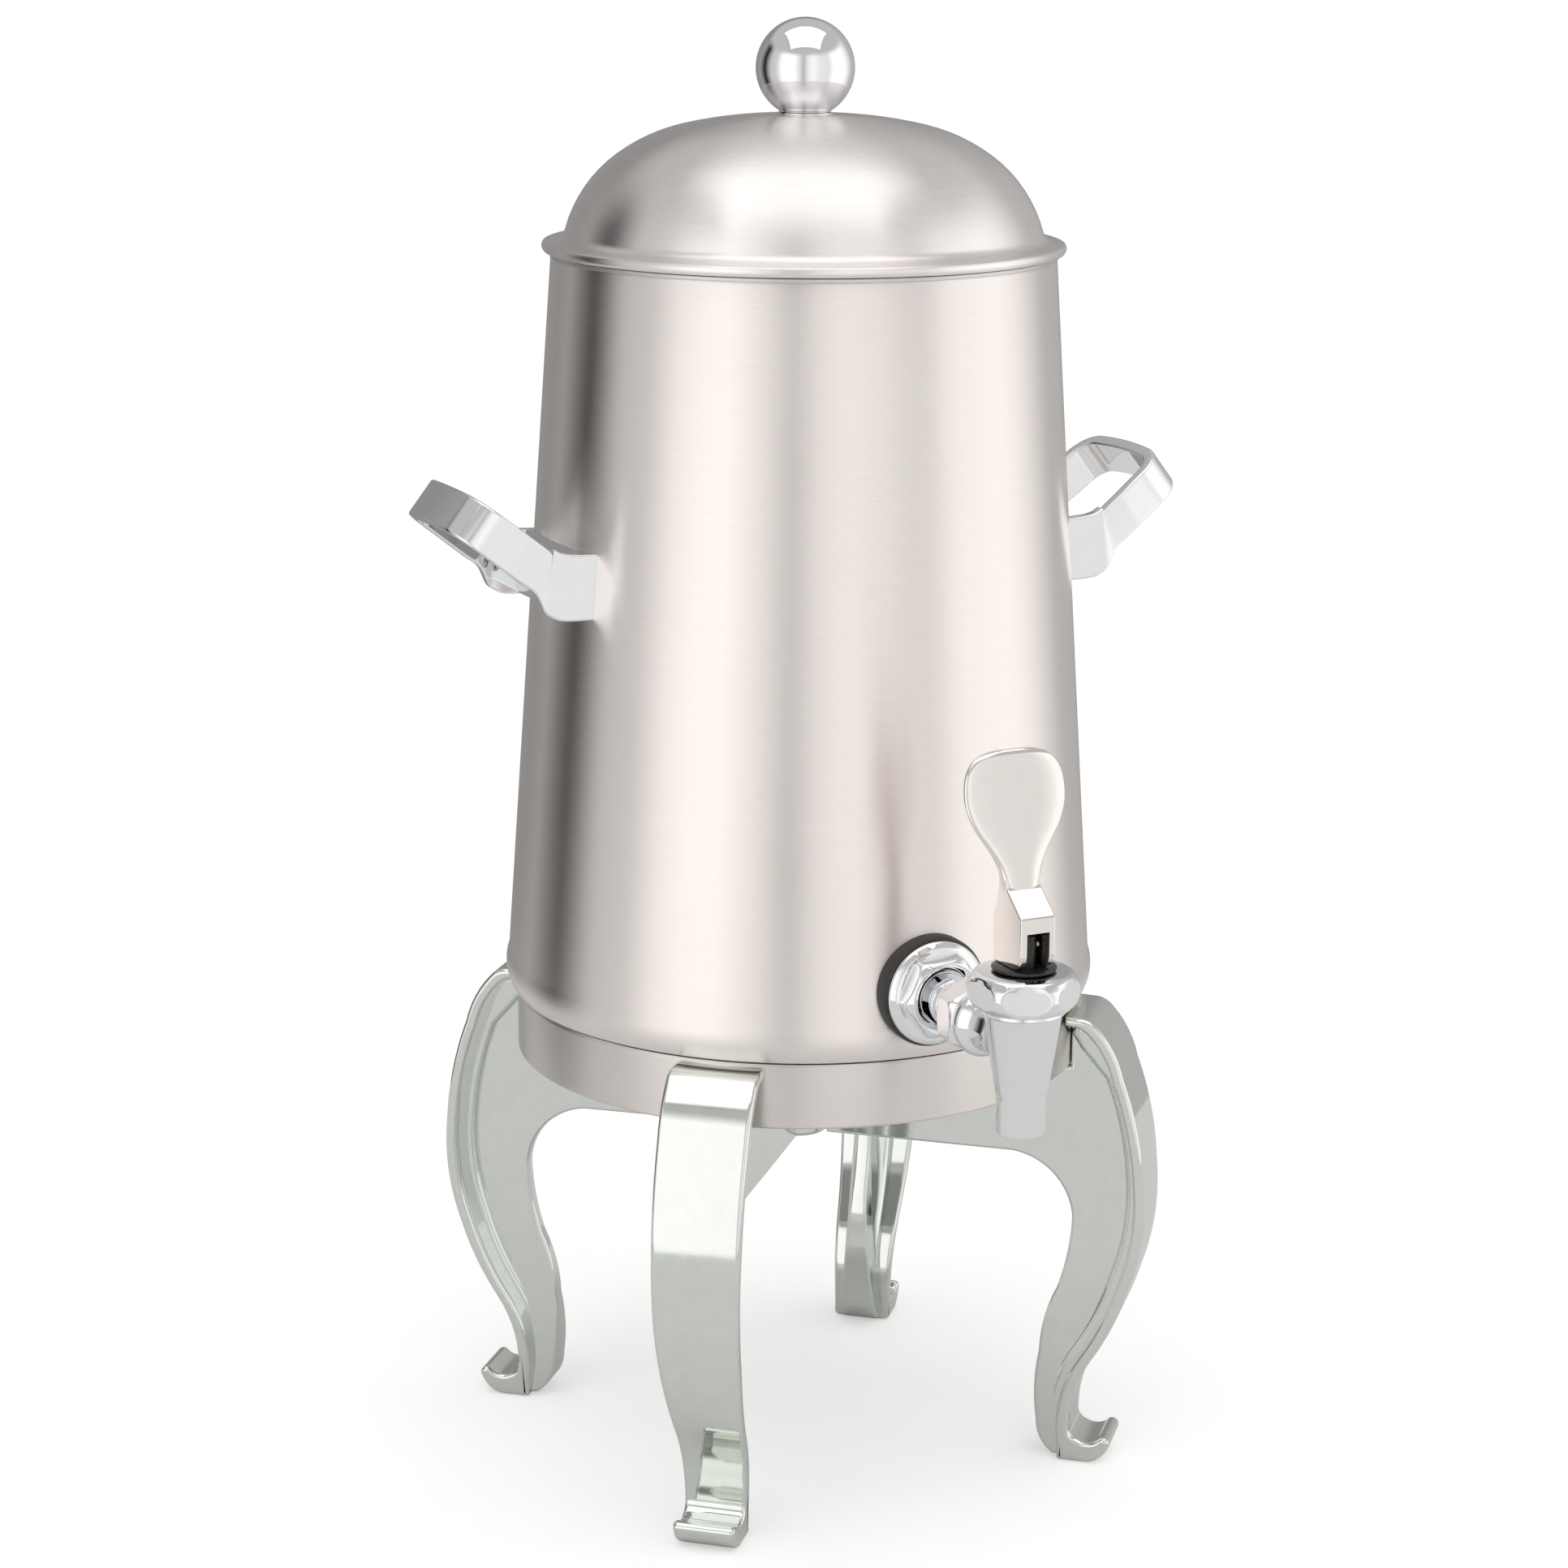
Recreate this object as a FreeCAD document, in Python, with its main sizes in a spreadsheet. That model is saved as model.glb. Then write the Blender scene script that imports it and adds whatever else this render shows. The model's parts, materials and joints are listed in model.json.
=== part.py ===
import FreeCAD, Part
import math
import os
import Sketcher

# Double-walled stainless coffee urn on a four-legged stand, with two loop handles,
# a lift-off domed lid and a lever faucet.
# Frame: origin on the table, on the urn's axis. +Z up, faucet towards -Y, handles on +X and -X.

VECTOR = FreeCAD.Vector
UP = VECTOR(0, 0, 1)

# Driving dimensions in millimetres, and angles in degrees.
DRIVING = {
    # body of the urn
    "stand_radius": 105.0,
    "stand_bottom": 153.5,
    "stand_top": 176.9,
    "band_wall": 1.5,
    "flange_reach": 14.0,
    "foot_radius": 108.0,
    "foot_bend": 14.0,
    "shell_bottom": 177.4,
    "bend_rise": 14.6,
    "mouth_radius": 90.6,
    "shell_top": 447.0,
    "shell_wall": 0.8,
    "wall_gap": 6.2,
    "liner_bottom": 188.0,
    "rim_thick": 1.4,
    # lid
    "brim_radius": 93.9,
    "brim_bottom": 448.8,
    "brim_top": 452.6,
    "dome_foot": 85.4,
    "dome_spring": 456.0,
    "shoulder_radius": 70.3,
    "shoulder_level": 480.0,
    "crown_radius": 44.2,
    "crown_level": 493.0,
    "dome_top": 497.0,
    "lid_wall": 1.0,
    "plug_radius": 80.8,
    "plug_bottom": 437.0,
    "ball_radius": 17.6,
    "ball_level": 513.2,
    "neck_radius": 9.3,
    "stud_radius": 3.0,
    # stand
    "leg_turn": 4.6,
    "leg_width": 33.0,
    "toe_width": 23.0,
    "strip_thick": 4.0,
    "web_thick": 6.0,
    "web_bottom": 118.0,
    "hub_radius": 12.0,
    "bolt_radius": 4.0,
    # handles
    "handle_root": 97.0,
    "handle_level": 332.9,
    "handle_rise": 38.0,
    "handle_reach": 55.0,
    "strap_depth": 15.0,
    "strap_thick": 4.6,
    "mount_half": 30.0,
    "mount_low": 327.0,
    "mount_high": 351.0,
    "handle_screw": 2.0,
    "screw_level": 334.5,
    # faucet
    "faucet_reach": 174.0,
    "shank_level": 203.0,
    "shank_radius": 8.0,
    "shank_bore": 5.2,
    "shank_start": 86.0,
    "shank_length": 59.0,
    "spigot_radius": 10.2,
    "gasket_radius": 19.8,
    "flange_radius": 18.6,
    "nut_flats": 27.0,
    "union_flats": 24.0,
    "outlet_bottom": 172.0,
    "outlet_radius": 8.4,
    "outlet_bore": 6.6,
    "body_top": 217.0,
    "body_radius": 13.1,
    "bonnet_radius": 19.0,
    "bonnet_bottom": 216.0,
    "bonnet_top": 228.6,
    "washer_radius": 11.0,
    "washer_thick": 1.3,
    "stem_radius": 4.0,
    "pin_radius": 1.6,
    "pin_level": 237.0,
    "cam_offset": 2.6,
    "lever_width": 37.5,
    "fork_width": 13.0,
    "slot_width": 8.4,
    "running_gap": 0.05,
    "fit_gap": 0.02,
}

doc = FreeCAD.newDocument("CoffeeUrn")
sheet = doc.addObject("Spreadsheet::Sheet", "Sizes")


class Size:
    """A number that remembers the sheet formula it is worked out with."""

    def __init__(self, value, text):
        self.value = float(value)
        self.text = text

    def __float__(self):
        return self.value

    def __neg__(self):
        return Size(-self.value, f"(-{self.text})")

    def __add__(self, other):
        return Size(self.value + float(other), f"({self.text} + {formula(other)})")

    def __radd__(self, other):
        return Size(float(other) + self.value, f"({formula(other)} + {self.text})")

    def __sub__(self, other):
        return Size(self.value - float(other), f"({self.text} - {formula(other)})")

    def __rsub__(self, other):
        return Size(float(other) - self.value, f"({formula(other)} - {self.text})")

    def __mul__(self, other):
        return Size(self.value * float(other), f"({self.text} * {formula(other)})")

    def __rmul__(self, other):
        return Size(float(other) * self.value, f"({formula(other)} * {self.text})")

    def __truediv__(self, other):
        return Size(self.value / float(other), f"({self.text} / {formula(other)})")


class Sizes:
    """The sheet's cells by name: sizes.shell_top and so on."""


def formula(number):
    return number.text if isinstance(number, Size) else f"({float(number)})"


def fill_sheet():
    """Write the driving dimensions to the sheet and give them back by name."""
    sizes = Sizes()
    for row, (name, value) in enumerate(DRIVING.items(), start=1):
        sheet.set(f"A{row}", name)
        sheet.set(f"B{row}", str(value))
        sheet.setAlias(f"B{row}", name)
        setattr(sizes, name, Size(value, f"Sizes.{name}"))
    doc.recompute()
    return sizes


s = fill_sheet()
NODES = []


def bind(target, prop, size):
    """Set a property to a size, and bind it to the sheet if it came from there."""
    setattr(target, prop, float(size))
    if isinstance(size, Size):
        target.setExpression(prop, size.text)


def turn(axis, degrees, x=0.0, y=0.0, z=0.0):
    return FreeCAD.Placement(VECTOR(float(x), float(y), float(z)), FreeCAD.Rotation(axis, degrees))


def along_faucet(y, z):
    """Puts a body whose own axis is +Z at (0, y, z) with that axis towards -Y."""
    return turn(VECTOR(1, 0, 0), 90, 0, y, z)


def node(thing, label):
    """Mark a document object as a finished sub-part."""
    thing.Label = label
    NODES.append(thing)
    return thing


def new_body(label):
    body = doc.addObject("PartDesign::Body", label + "_body")
    body.Label = label + "_body"
    return body


def origin_plane(body, role):
    return [item for item in body.Origin.OriginFeatures if item.Role == role][0]


def bend_middle(a, b, bend):
    """Middle point of an arc from a to b. Positive bends bulge to the right of the way from a to b."""
    chord = math.dist(a, b)
    depth = abs(bend) - math.sqrt(bend * bend - chord * chord / 4)
    side = math.copysign(depth / chord, bend)
    return ((a[0] + b[0]) / 2 + side * (b[1] - a[1]), (a[1] + b[1]) / 2 - side * (b[0] - a[0]))


def add_loop(sketch, corners):
    """A closed outline of corners (x, y) or (x, y, bend). A bend is the radius of the arc to the next one."""
    spots = [(float(corner[0]), float(corner[1])) for corner in corners]
    edges = []
    for index, corner in enumerate(corners):
        a, b = spots[index], spots[(index + 1) % len(spots)]
        first = 1
        if len(corner) == 3:
            middle = bend_middle(a, b, float(corner[2]))
            if float(corner[2]) < 0:
                # A sketch arc always runs anticlockwise, so a hollow one is drawn from its far end.
                a, b, first = b, a, 2
            shape = Part.Arc(VECTOR(*a, 0), VECTOR(*middle, 0), VECTOR(*b, 0))
        else:
            shape = Part.LineSegment(VECTOR(*a, 0), VECTOR(*b, 0))
        edges.append((sketch.addGeometry(shape, False), first, 3 - first))
    for index, (edge, first, last) in enumerate(edges):
        after, after_first, _ = edges[(index + 1) % len(edges)]
        sketch.addConstraint(Sketcher.Constraint("Coincident", edge, last, after, after_first))
    for corner, (edge, first, last) in zip(corners, edges):
        fix(sketch, "DistanceX", corner[0], -1, 1, edge, first)
        fix(sketch, "DistanceY", corner[1], -1, 1, edge, first)
        if len(corner) == 3:
            size = corner[2] if float(corner[2]) > 0 else -corner[2]
            fix(sketch, "Radius", size, edge)


def fix(sketch, kind, size, *where):
    """A dimension on the sketch, bound to the sheet if its size came from there."""
    index = sketch.addConstraint(Sketcher.Constraint(kind, *where, float(size)))
    if isinstance(size, Size):
        sketch.setExpression(f"Constraints[{index}]", size.text)


def add_circle(sketch, x, y, radius):
    edge = sketch.addGeometry(Part.Circle(VECTOR(float(x), float(y), 0), UP, float(radius)), False)
    fix(sketch, "DistanceX", x, -1, 1, edge, 3)
    fix(sketch, "DistanceY", y, -1, 1, edge, 3)
    fix(sketch, "Radius", radius, edge)


def new_sketch(body, role, loops=(), circles=(), offset=None):
    sketch = body.newObject("Sketcher::SketchObject", body.Name + "_sketch")
    sketch.AttachmentSupport = (origin_plane(body, role), [""])
    sketch.MapMode = "FlatFace"
    if offset is not None:
        sketch.AttachmentOffset = offset
    for corners in loops:
        add_loop(sketch, corners)
    for circle in circles:
        add_circle(sketch, *circle)
    return sketch


def revolve(body, corners):
    """Turn an outline drawn in the body's XZ plane about its Z axis."""
    feature = body.newObject("PartDesign::Revolution", body.Name + "_turned")
    feature.Profile = new_sketch(body, "XZ_Plane", [corners])
    feature.ReferenceAxis = (feature.Profile[0], ["V_Axis"])
    feature.Angle = 360
    return feature


def pad(body, role, length, loops=(), circles=(), both_ways=True):
    """Thicken outlines drawn on an origin plane, both ways or along the plane's normal."""
    feature = body.newObject("PartDesign::Pad", body.Name + "_pad")
    feature.Profile = new_sketch(body, role, loops, circles)
    feature.SideType = "Symmetric" if both_ways else "One side"
    bind(feature, "Length", length)
    return feature


def pocket(body, role, loops=(), circles=(), offset=None):
    """Cut outlines right through the body, both ways from their plane."""
    feature = body.newObject("PartDesign::Pocket", body.Name + "_pocket")
    feature.Profile = new_sketch(body, role, loops, circles, offset)
    feature.SideType = "Symmetric"
    feature.Type = "ThroughAll"
    return feature


def turned_node(label, corners, placement=None):
    """A sub-part that is one revolved outline."""
    body = new_body(label)
    revolve(body, corners)
    if placement is not None:
        body.Placement = placement
    return node(body, label)


def cylinder(label, radius, height, placement):
    item = doc.addObject("Part::Cylinder", label)
    bind(item, "Radius", radius)
    bind(item, "Height", height)
    item.Placement = placement
    return item


def cut(base, tools, label):
    """base less its tools, as one Part::Cut."""
    tool = tools[0]
    if len(tools) > 1:
        tool = doc.addObject("Part::MultiFuse", label + "_tools")
        tool.Shapes = tools
    result = doc.addObject("Part::Cut", label + "_cut")
    result.Base = base
    result.Tool = tool
    return result


def group(label, things):
    """Identical fasteners as one sub-part of separate solids."""
    result = doc.addObject("Part::Compound", label + "_set")
    result.Links = things
    return node(result, label)


def tube_outline(inner, outer, low, high):
    return [(inner, low), (outer, low), (outer, high), (inner, high)]


def around(count, first=0.0):
    return [first + 360.0 * index / count for index in range(count)]


def shell_radius_at(level):
    """Outer radius of the tapered shell, as a number, at a height."""
    foot_top = float(s.shell_bottom + s.bend_rise)
    share = (level - foot_top) / (float(s.shell_top) - foot_top)
    return float(s.foot_radius) + share * (float(s.mouth_radius) - float(s.foot_radius))


# ---------------------------------------------------------------- body of the urn

def handle_side(side):
    """Turns something made for the +X side to the side asked for."""
    return 0 if side > 0 else 180


def screw_drills(label, radius):
    """Radial drills at both handles, from inside the wall gap to outside the shell."""
    drills = []
    for side in (1, -1):
        spot = turn(VECTOR(0, 1, 0), 90 * side, side * 88.0, 0, s.screw_level)
        drills.append(cylinder(f"{label}_drill", radius, 16.0, spot))
    return drills


def make_outer_shell():
    inner_foot = s.foot_radius - s.shell_wall
    foot_top = s.shell_bottom + s.bend_rise
    corners = [
        (0, s.shell_bottom),
        (s.foot_radius - 4.6, s.shell_bottom, s.foot_bend),
        (s.foot_radius, foot_top),
        (s.mouth_radius, s.shell_top),
        (s.mouth_radius - s.shell_wall, s.shell_top),
        (inner_foot, foot_top, -(s.foot_bend - s.shell_wall)),
        (s.foot_radius - 4.6, s.shell_bottom + s.shell_wall),
        (0, s.shell_bottom + s.shell_wall),
    ]
    body = new_body("outer_shell")
    revolve(body, corners)
    tools = [cylinder("shank_drill", s.shank_radius + 0.3, 30.0, along_faucet(-92, s.shank_level))]
    tools += screw_drills("outer_shell", s.handle_screw + s.running_gap)
    tools += ring_screw_drills("outer_shell", s.handle_screw + s.running_gap)
    node(cut(body, tools, "outer_shell"), "outer_shell")


def make_inner_liner():
    foot = s.foot_radius - s.shell_wall - s.wall_gap
    mouth = s.mouth_radius - s.shell_wall - s.wall_gap
    bend = 9.0
    corners = [
        (0, s.liner_bottom),
        (foot - bend, s.liner_bottom, bend + 0.3),
        (foot, s.liner_bottom + bend),
        (mouth, s.shell_top),
        (mouth - s.shell_wall, s.shell_top),
        (foot - s.shell_wall, s.liner_bottom + bend, -(bend + 0.3 - s.shell_wall)),
        (foot - bend, s.liner_bottom + s.shell_wall),
        (0, s.liner_bottom + s.shell_wall),
    ]
    body = new_body("inner_liner")
    revolve(body, corners)
    drill = cylinder("liner_drill", s.shank_radius + 0.3, 30.0, along_faucet(-82, s.shank_level))
    node(cut(body, [drill], "inner_liner"), "inner_liner")


def make_mouth_rim():
    inner = s.mouth_radius - 2 * s.shell_wall - s.wall_gap
    top = s.shell_top + s.rim_thick
    corners = [
        (inner, s.shell_top),
        (s.mouth_radius, s.shell_top),
        (s.mouth_radius, top - 0.6, 0.6),
        (s.mouth_radius - 0.6, top),
        (inner + 0.6, top, 0.6),
        (inner, top - 0.6),
    ]
    turned_node("mouth_rim", corners)


def make_base_ring():
    inner = s.stand_radius - s.band_wall
    flange_inner = s.stand_radius - s.flange_reach
    corners = [
        (inner, s.stand_bottom),
        (s.stand_radius, s.stand_bottom),
        (s.stand_radius, s.stand_top),
        (flange_inner, s.stand_top),
        (flange_inner, s.stand_top - s.band_wall),
        (inner, s.stand_top - s.band_wall),
    ]
    body = new_body("base_ring")
    revolve(body, corners)
    drills = ring_screw_drills("base_ring", s.handle_screw + s.running_gap)
    node(cut(body, drills, "base_ring"), "base_ring")


def make_base_plate():
    body = new_body("base_plate")
    outer = s.stand_radius - s.band_wall - s.fit_gap
    revolve(body, tube_outline(s.bolt_radius + 0.3, outer, s.stand_bottom, s.stand_bottom + s.band_wall))
    drills = leg_screw_drills("base_plate", s.stud_radius / 2 + s.running_gap)
    node(cut(body, drills, "base_plate"), "base_plate")


RING_SCREW_CIRCLE = 97.0
LEG_SCREW_CIRCLE = 60.0


def spot_on_circle(radius, degrees, level):
    """A place on a circle about the urn's axis. The angle is counted from +X."""
    angle = math.radians(degrees)
    return turn(UP, degrees, radius * math.cos(angle), radius * math.sin(angle), level)


def ring_screw_drills(label, radius):
    low = s.stand_top - 4
    return [
        cylinder(f"{label}_ring_drill", radius, 10.0, spot_on_circle(RING_SCREW_CIRCLE, angle, low))
        for angle in around(4)
    ]


def leg_angles():
    """The legs stand on the diagonals, turned a little from the faucet. Counted from +X."""
    return around(4, 45.0 + float(s.leg_turn))


def leg_screw_drills(label, radius):
    low = s.stand_bottom - 12
    return [
        cylinder(f"{label}_leg_drill", radius, 16.0, spot_on_circle(LEG_SCREW_CIRCLE, angle, low))
        for angle in leg_angles()
    ]


def screw_outline(shank, length, head, head_height):
    """Half outline of a pan-head screw whose head sits below its own z = 0 plane."""
    return [
        (0, -head_height),
        (head * 0.55, -head_height, head * 0.75),
        (head, -head_height * 0.3),
        (head, 0),
        (shank, 0),
        (shank, length - 0.4),
        (shank - 0.4, length),
        (0, length),
    ]


def screw(label, shank, length, head, head_height, placement):
    body = new_body(label)
    revolve(body, screw_outline(shank, length, head, head_height))
    body.Placement = placement
    return body


def make_ring_screws():
    level = s.stand_top - s.band_wall
    screws = []
    for angle in around(4):
        spot = spot_on_circle(RING_SCREW_CIRCLE, angle, level)
        screws.append(screw("ring_screw", s.handle_screw, 5.0, 3.6, 2.2, spot))
    group("ring_screws", screws)


def make_leg_screws():
    level = float(s.stand_bottom + s.band_wall)
    screws = []
    for angle in leg_angles():
        spot = spot_on_circle(LEG_SCREW_CIRCLE, angle, level)
        flipped = spot.multiply(turn(VECTOR(1, 0, 0), 180))
        screws.append(screw("leg_screw", s.stud_radius / 2, 10.0, 3.0, 2.0, flipped))
    group("leg_screws", screws)


# ---------------------------------------------------------------- stand

def make_leg(label, angle):
    """A cast cabriole leg: a broad curved strip, a web behind it and a curled toe."""
    body = new_body(label)
    top = s.stand_top - 1.0
    strap = [
        (105.0, 0),
        (117.0, 0, 10.0),
        (124.6, 7.2, 2.2),
        (121.6, 9.6, -14.0),
        (112.6, 8.4, -5.0),
        (108.6, 13.5, -49.0),
        (117.0, 41.0, 120.0),
        (131.0, 72.0, 97.0),
        (135.8, 114.0, 135.0),
        (127.0, 154.0, 40.0),
        (116.0, top - 2.4, 14.0),
        (104.0, top),
        (104.0, top - s.strip_thick, -12.0),
        (113.8, 170.2, -36.0),
        (123.4, 152.0, -131.0),
        (131.8, 113.6, -93.0),
        (127.2, 73.2, -116.0),
        (113.4, 42.8, 53.0),
        (104.6, 14.0),
    ]
    pad(body, "XZ_Plane", s.leg_width, [strap])
    half = s.leg_width / 2
    toe = s.toe_width / 2
    for side in (1, -1):
        wedge = [
            (side * toe, -1),
            (side * (half + 4), -1),
            (side * (half + 4), 170),
            (side * half, 170),
            (side * (half - 1.5), 100),
            (side * (toe + 0.8), 36),
        ]
        pocket(body, "YZ_Plane", [wedge])
    web = [
        (s.hub_radius + s.fit_gap, s.web_bottom),
        (84.0, s.web_bottom, -26.0),
        (107.0, 94.0, -100.0),
        (102.0, 66.0),
        (95.6, 40.0, 75.0),
        (95.6, 13.0, 14.0),
        (104.0, 0),
        (108.0, 0),
        (105.6, 14.0),
        (114.0, 42.0),
        (128.6, 73.0),
        (133.4, 114.0),
        (124.8, 153.0),
        (114.0, top - 4.2),
        (100.0, top - 2.6),
        (100.0, s.stand_bottom - s.fit_gap),
        (s.hub_radius + s.fit_gap, s.stand_bottom - s.fit_gap),
    ]
    pad(body, "XZ_Plane", s.web_thick, [web])
    heel = [
        (96.6, 40.0, 75.0),
        (96.6, 13.0, 14.0),
        (104.5, 0),
        (112.0, 0),
        (106.8, 14.0),
        (112.0, 40.0),
    ]
    pad(body, "XZ_Plane", s.toe_width - 6, [heel])
    base_spot = turn(UP, 0, 0, 0, s.stand_bottom - s.fit_gap)
    base_room = cylinder("band_room", s.stand_radius + s.fit_gap, 40.0, base_spot)
    hub_room = cylinder("hub_room", s.hub_radius + s.fit_gap, 40.0, turn(UP, 0, 0, 0, s.web_bottom))
    drill_spot = turn(UP, 0, LEG_SCREW_CIRCLE, 0, s.stand_bottom - 9)
    drill = cylinder("leg_drill", s.stud_radius / 2, 12.0, drill_spot)
    leg = cut(body, [base_room, hub_room, drill], label)
    leg.Placement = turn(UP, angle)
    node(leg, label)


def make_stand_hub():
    corners = [
        (s.bolt_radius + 0.3, s.web_bottom + 6),
        (8.5, s.web_bottom + 6),
        (8.5, s.web_bottom),
        (s.hub_radius - 2, s.web_bottom, 2.0),
        (s.hub_radius, s.web_bottom + 2),
        (s.hub_radius, s.stand_bottom - s.fit_gap),
        (s.bolt_radius + 0.3, s.stand_bottom - s.fit_gap),
    ]
    turned_node("stand_hub", corners)


def hexagon(flats):
    """Corners of a hexagon of the given width across flats."""
    reach = float(flats) / math.sqrt(3)
    return [
        (reach * math.cos(math.radians(angle)), reach * math.sin(math.radians(angle)))
        for angle in around(6)
    ]


def hex_piece(label, flats, height, bore, placement):
    """A hexagonal block with a hole, such as a nut."""
    body = new_body(label)
    pad(body, "XY_Plane", height, [hexagon(flats)], both_ways=False)
    if bore:
        pocket(body, "XY_Plane", circles=[(0, 0, bore)])
    body.Placement = placement
    return body


def make_stand_bolt():
    body = new_body("stand_bolt")
    low = s.web_bottom + 0.5
    pad(body, "XY_Plane", 5.5, [hexagon(13.0)], both_ways=False)
    shank = body.newObject("PartDesign::Pad", "stand_bolt_shank")
    shank.Profile = new_sketch(body, "XY_Plane", circles=[(0, 0, s.bolt_radius)])
    bind(shank, "Length", s.stand_bottom + s.band_wall + 9 - low)
    body.Placement = turn(UP, 0, 0, 0, low)
    node(body, "stand_bolt")


def make_stand_nut():
    spot = turn(UP, 30, 0, 0, s.stand_bottom + s.band_wall)
    node(hex_piece("stand_nut", 13.0, 6.5, s.bolt_radius, spot), "stand_nut")


# ---------------------------------------------------------------- handles

def make_handle(label, side):
    """A cast loop: two arms rise from a mount on the shell and join in a cross bar."""
    rise = math.radians(float(s.handle_rise))
    half = s.strap_depth / 2
    out, up = math.cos(rise), math.sin(rise)

    def loop_point(u, w):
        """A point u along the loop and w above its plane, in the upright side view."""
        return (s.handle_root + u * out - w * up, s.handle_level + u * up + w * out)

    body = new_body(label)
    profile = [
        (s.handle_root - 9, s.mount_low),
        (s.handle_root + 11, s.mount_low, 2.5),
        (s.handle_root + 13, s.mount_low + 2.2, -9.0),
        loop_point(15.0, -half),
        loop_point(s.handle_reach, -half),
        loop_point(s.handle_reach, half),
        loop_point(24.0, half) + (-16.0,),
        (s.handle_root + 6, s.mount_high + 0.6, 14.0),
        (s.handle_root - 1, s.mount_high),
        (s.handle_root - 9, s.mount_high),
    ]
    pad(body, "XZ_Plane", s.mount_half * 2, [profile])

    wide = s.mount_half + 6
    bar = s.handle_reach
    outline = [
        (13.0, -s.mount_half),
        (bar - 13, -s.mount_half + 1, 12.0),
        (bar - 0.8, -18.0, 160.0),
        (bar - 0.8, 18.0, 12.0),
        (bar - 13, s.mount_half - 1),
        (13.0, s.mount_half),
        (-30.0, s.mount_half + 1),
        (-30.0, -s.mount_half - 1),
    ]
    blank = [(-40.0, -wide), (90.0, -wide), (90.0, wide), (-40.0, wide)]
    inner = s.mount_half - s.strap_thick
    opening = [
        (12.0, -inner + 9, 9.5),
        (20.0, -inner + 0.8),
        (bar - 14, -inner + 1.6, 8.0),
        (bar - s.strap_thick - 0.8, -17.0, 150.0),
        (bar - s.strap_thick - 0.8, 17.0, 8.0),
        (bar - 14, inner - 1.6),
        (20.0, inner - 0.8, 9.5),
        (12.0, inner - 9, -40.0),
    ]
    tilt = turn(VECTOR(0, 1, 0), -float(s.handle_rise), s.handle_root, 0, s.handle_level)
    pocket(body, "XY_Plane", [blank, outline, opening], offset=tilt)

    recess_face = s.handle_root + 5.0
    recess = [
        (recess_face, s.mount_low - 4),
        (s.handle_root + 30, s.mount_low - 4),
        (s.handle_root + 30, s.mount_low + 13),
        (recess_face, s.mount_low + 13),
    ]
    slot = body.newObject("PartDesign::Pocket", label + "_recess")
    slot.Profile = new_sketch(body, "XZ_Plane", [recess])
    slot.SideType = "Symmetric"
    bind(slot, "Length", (s.mount_half - 9) * 2)

    shell_room = doc.addObject("Part::Cone", label + "_shell_room")
    foot_top = s.shell_bottom + s.bend_rise
    bind(shell_room, "Radius1", s.foot_radius + s.fit_gap)
    bind(shell_room, "Radius2", s.mouth_radius + s.fit_gap)
    bind(shell_room, "Height", s.shell_top - foot_top)
    shell_room.Placement = turn(UP, 0, 0, 0, foot_top)
    drill_spot = turn(VECTOR(0, 1, 0), 90, 90.0, 0, s.screw_level)
    drill = cylinder(label + "_drill", s.handle_screw + s.running_gap, 30.0, drill_spot)
    handle = cut(body, [shell_room, drill], label)
    handle.Placement = turn(UP, handle_side(side))
    node(handle, label)


def make_handle_screws():
    reach = float(s.handle_root) + 5.0
    screws = []
    for side in (1, -1):
        spot = turn(VECTOR(0, 1, 0), -90 * side, side * reach, 0, s.screw_level)
        screws.append(screw("handle_screw", s.handle_screw, 9.5, 3.6, 2.4, spot))
    group("handle_screws", screws)


def make_handle_nuts():
    """Square nuts welded behind the shell for the handle screws."""
    inside = shell_radius_at(float(s.screw_level)) - float(s.shell_wall) - 0.8
    nuts = []
    for side in (1, -1):
        spot = turn(VECTOR(0, 1, 0), -90 * side, side * inside, 0, s.screw_level)
        nuts.append(hex_piece("handle_nut", 8.0, 3.0, s.handle_screw, spot))
    group("handle_nuts", nuts)


# ---------------------------------------------------------------- lid

def make_lid_dome():
    wall = s.lid_wall
    corners = [
        (s.dome_foot - 2.5, s.brim_bottom),
        (s.brim_radius - 1.5, s.brim_bottom, 1.6),
        (s.brim_radius - 0.6, s.brim_top - 1.2, 1.5),
        (s.brim_radius - 2.6, s.brim_top),
        (s.dome_foot + 2.4, s.brim_top + 0.6, -3.4),
        (s.dome_foot, s.dome_spring, 49.0),
        (s.shoulder_radius, s.shoulder_level, 63.0),
        (s.crown_radius, s.crown_level, 157.0),
        (s.neck_radius + 0.5, s.dome_top),
        (s.stud_radius + 0.2, s.dome_top),
        (s.stud_radius + 0.2, s.dome_top - wall),
        (s.neck_radius, s.dome_top - wall, -157.0),
        (s.crown_radius - 0.5, s.crown_level - wall, -62.0),
        (s.shoulder_radius - 1, s.shoulder_level - wall, -48.0),
        (s.dome_foot - 1.2, s.dome_spring),
        (s.dome_foot - 2.5, s.brim_top - 1),
    ]
    turned_node("lid_dome", corners)


def make_lid_plug():
    """The insulated plug: a shallow pan under the dome that drops into the mouth."""
    top = s.brim_bottom
    wall = s.shell_wall
    corners = [
        (0, s.plug_bottom),
        (s.plug_radius - 4, s.plug_bottom, 4.0),
        (s.plug_radius, s.plug_bottom + 4),
        (s.plug_radius, top + 1.2),
        (s.dome_foot - 2.6, top + 1.2),
        (s.dome_foot - 2.6, top + 2),
        (s.plug_radius - wall, top + 2),
        (s.plug_radius - wall, s.plug_bottom + 4, -(4.0 - wall)),
        (s.plug_radius - 4, s.plug_bottom + wall),
        (0, s.plug_bottom + wall),
    ]
    turned_node("lid_plug", corners)


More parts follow.
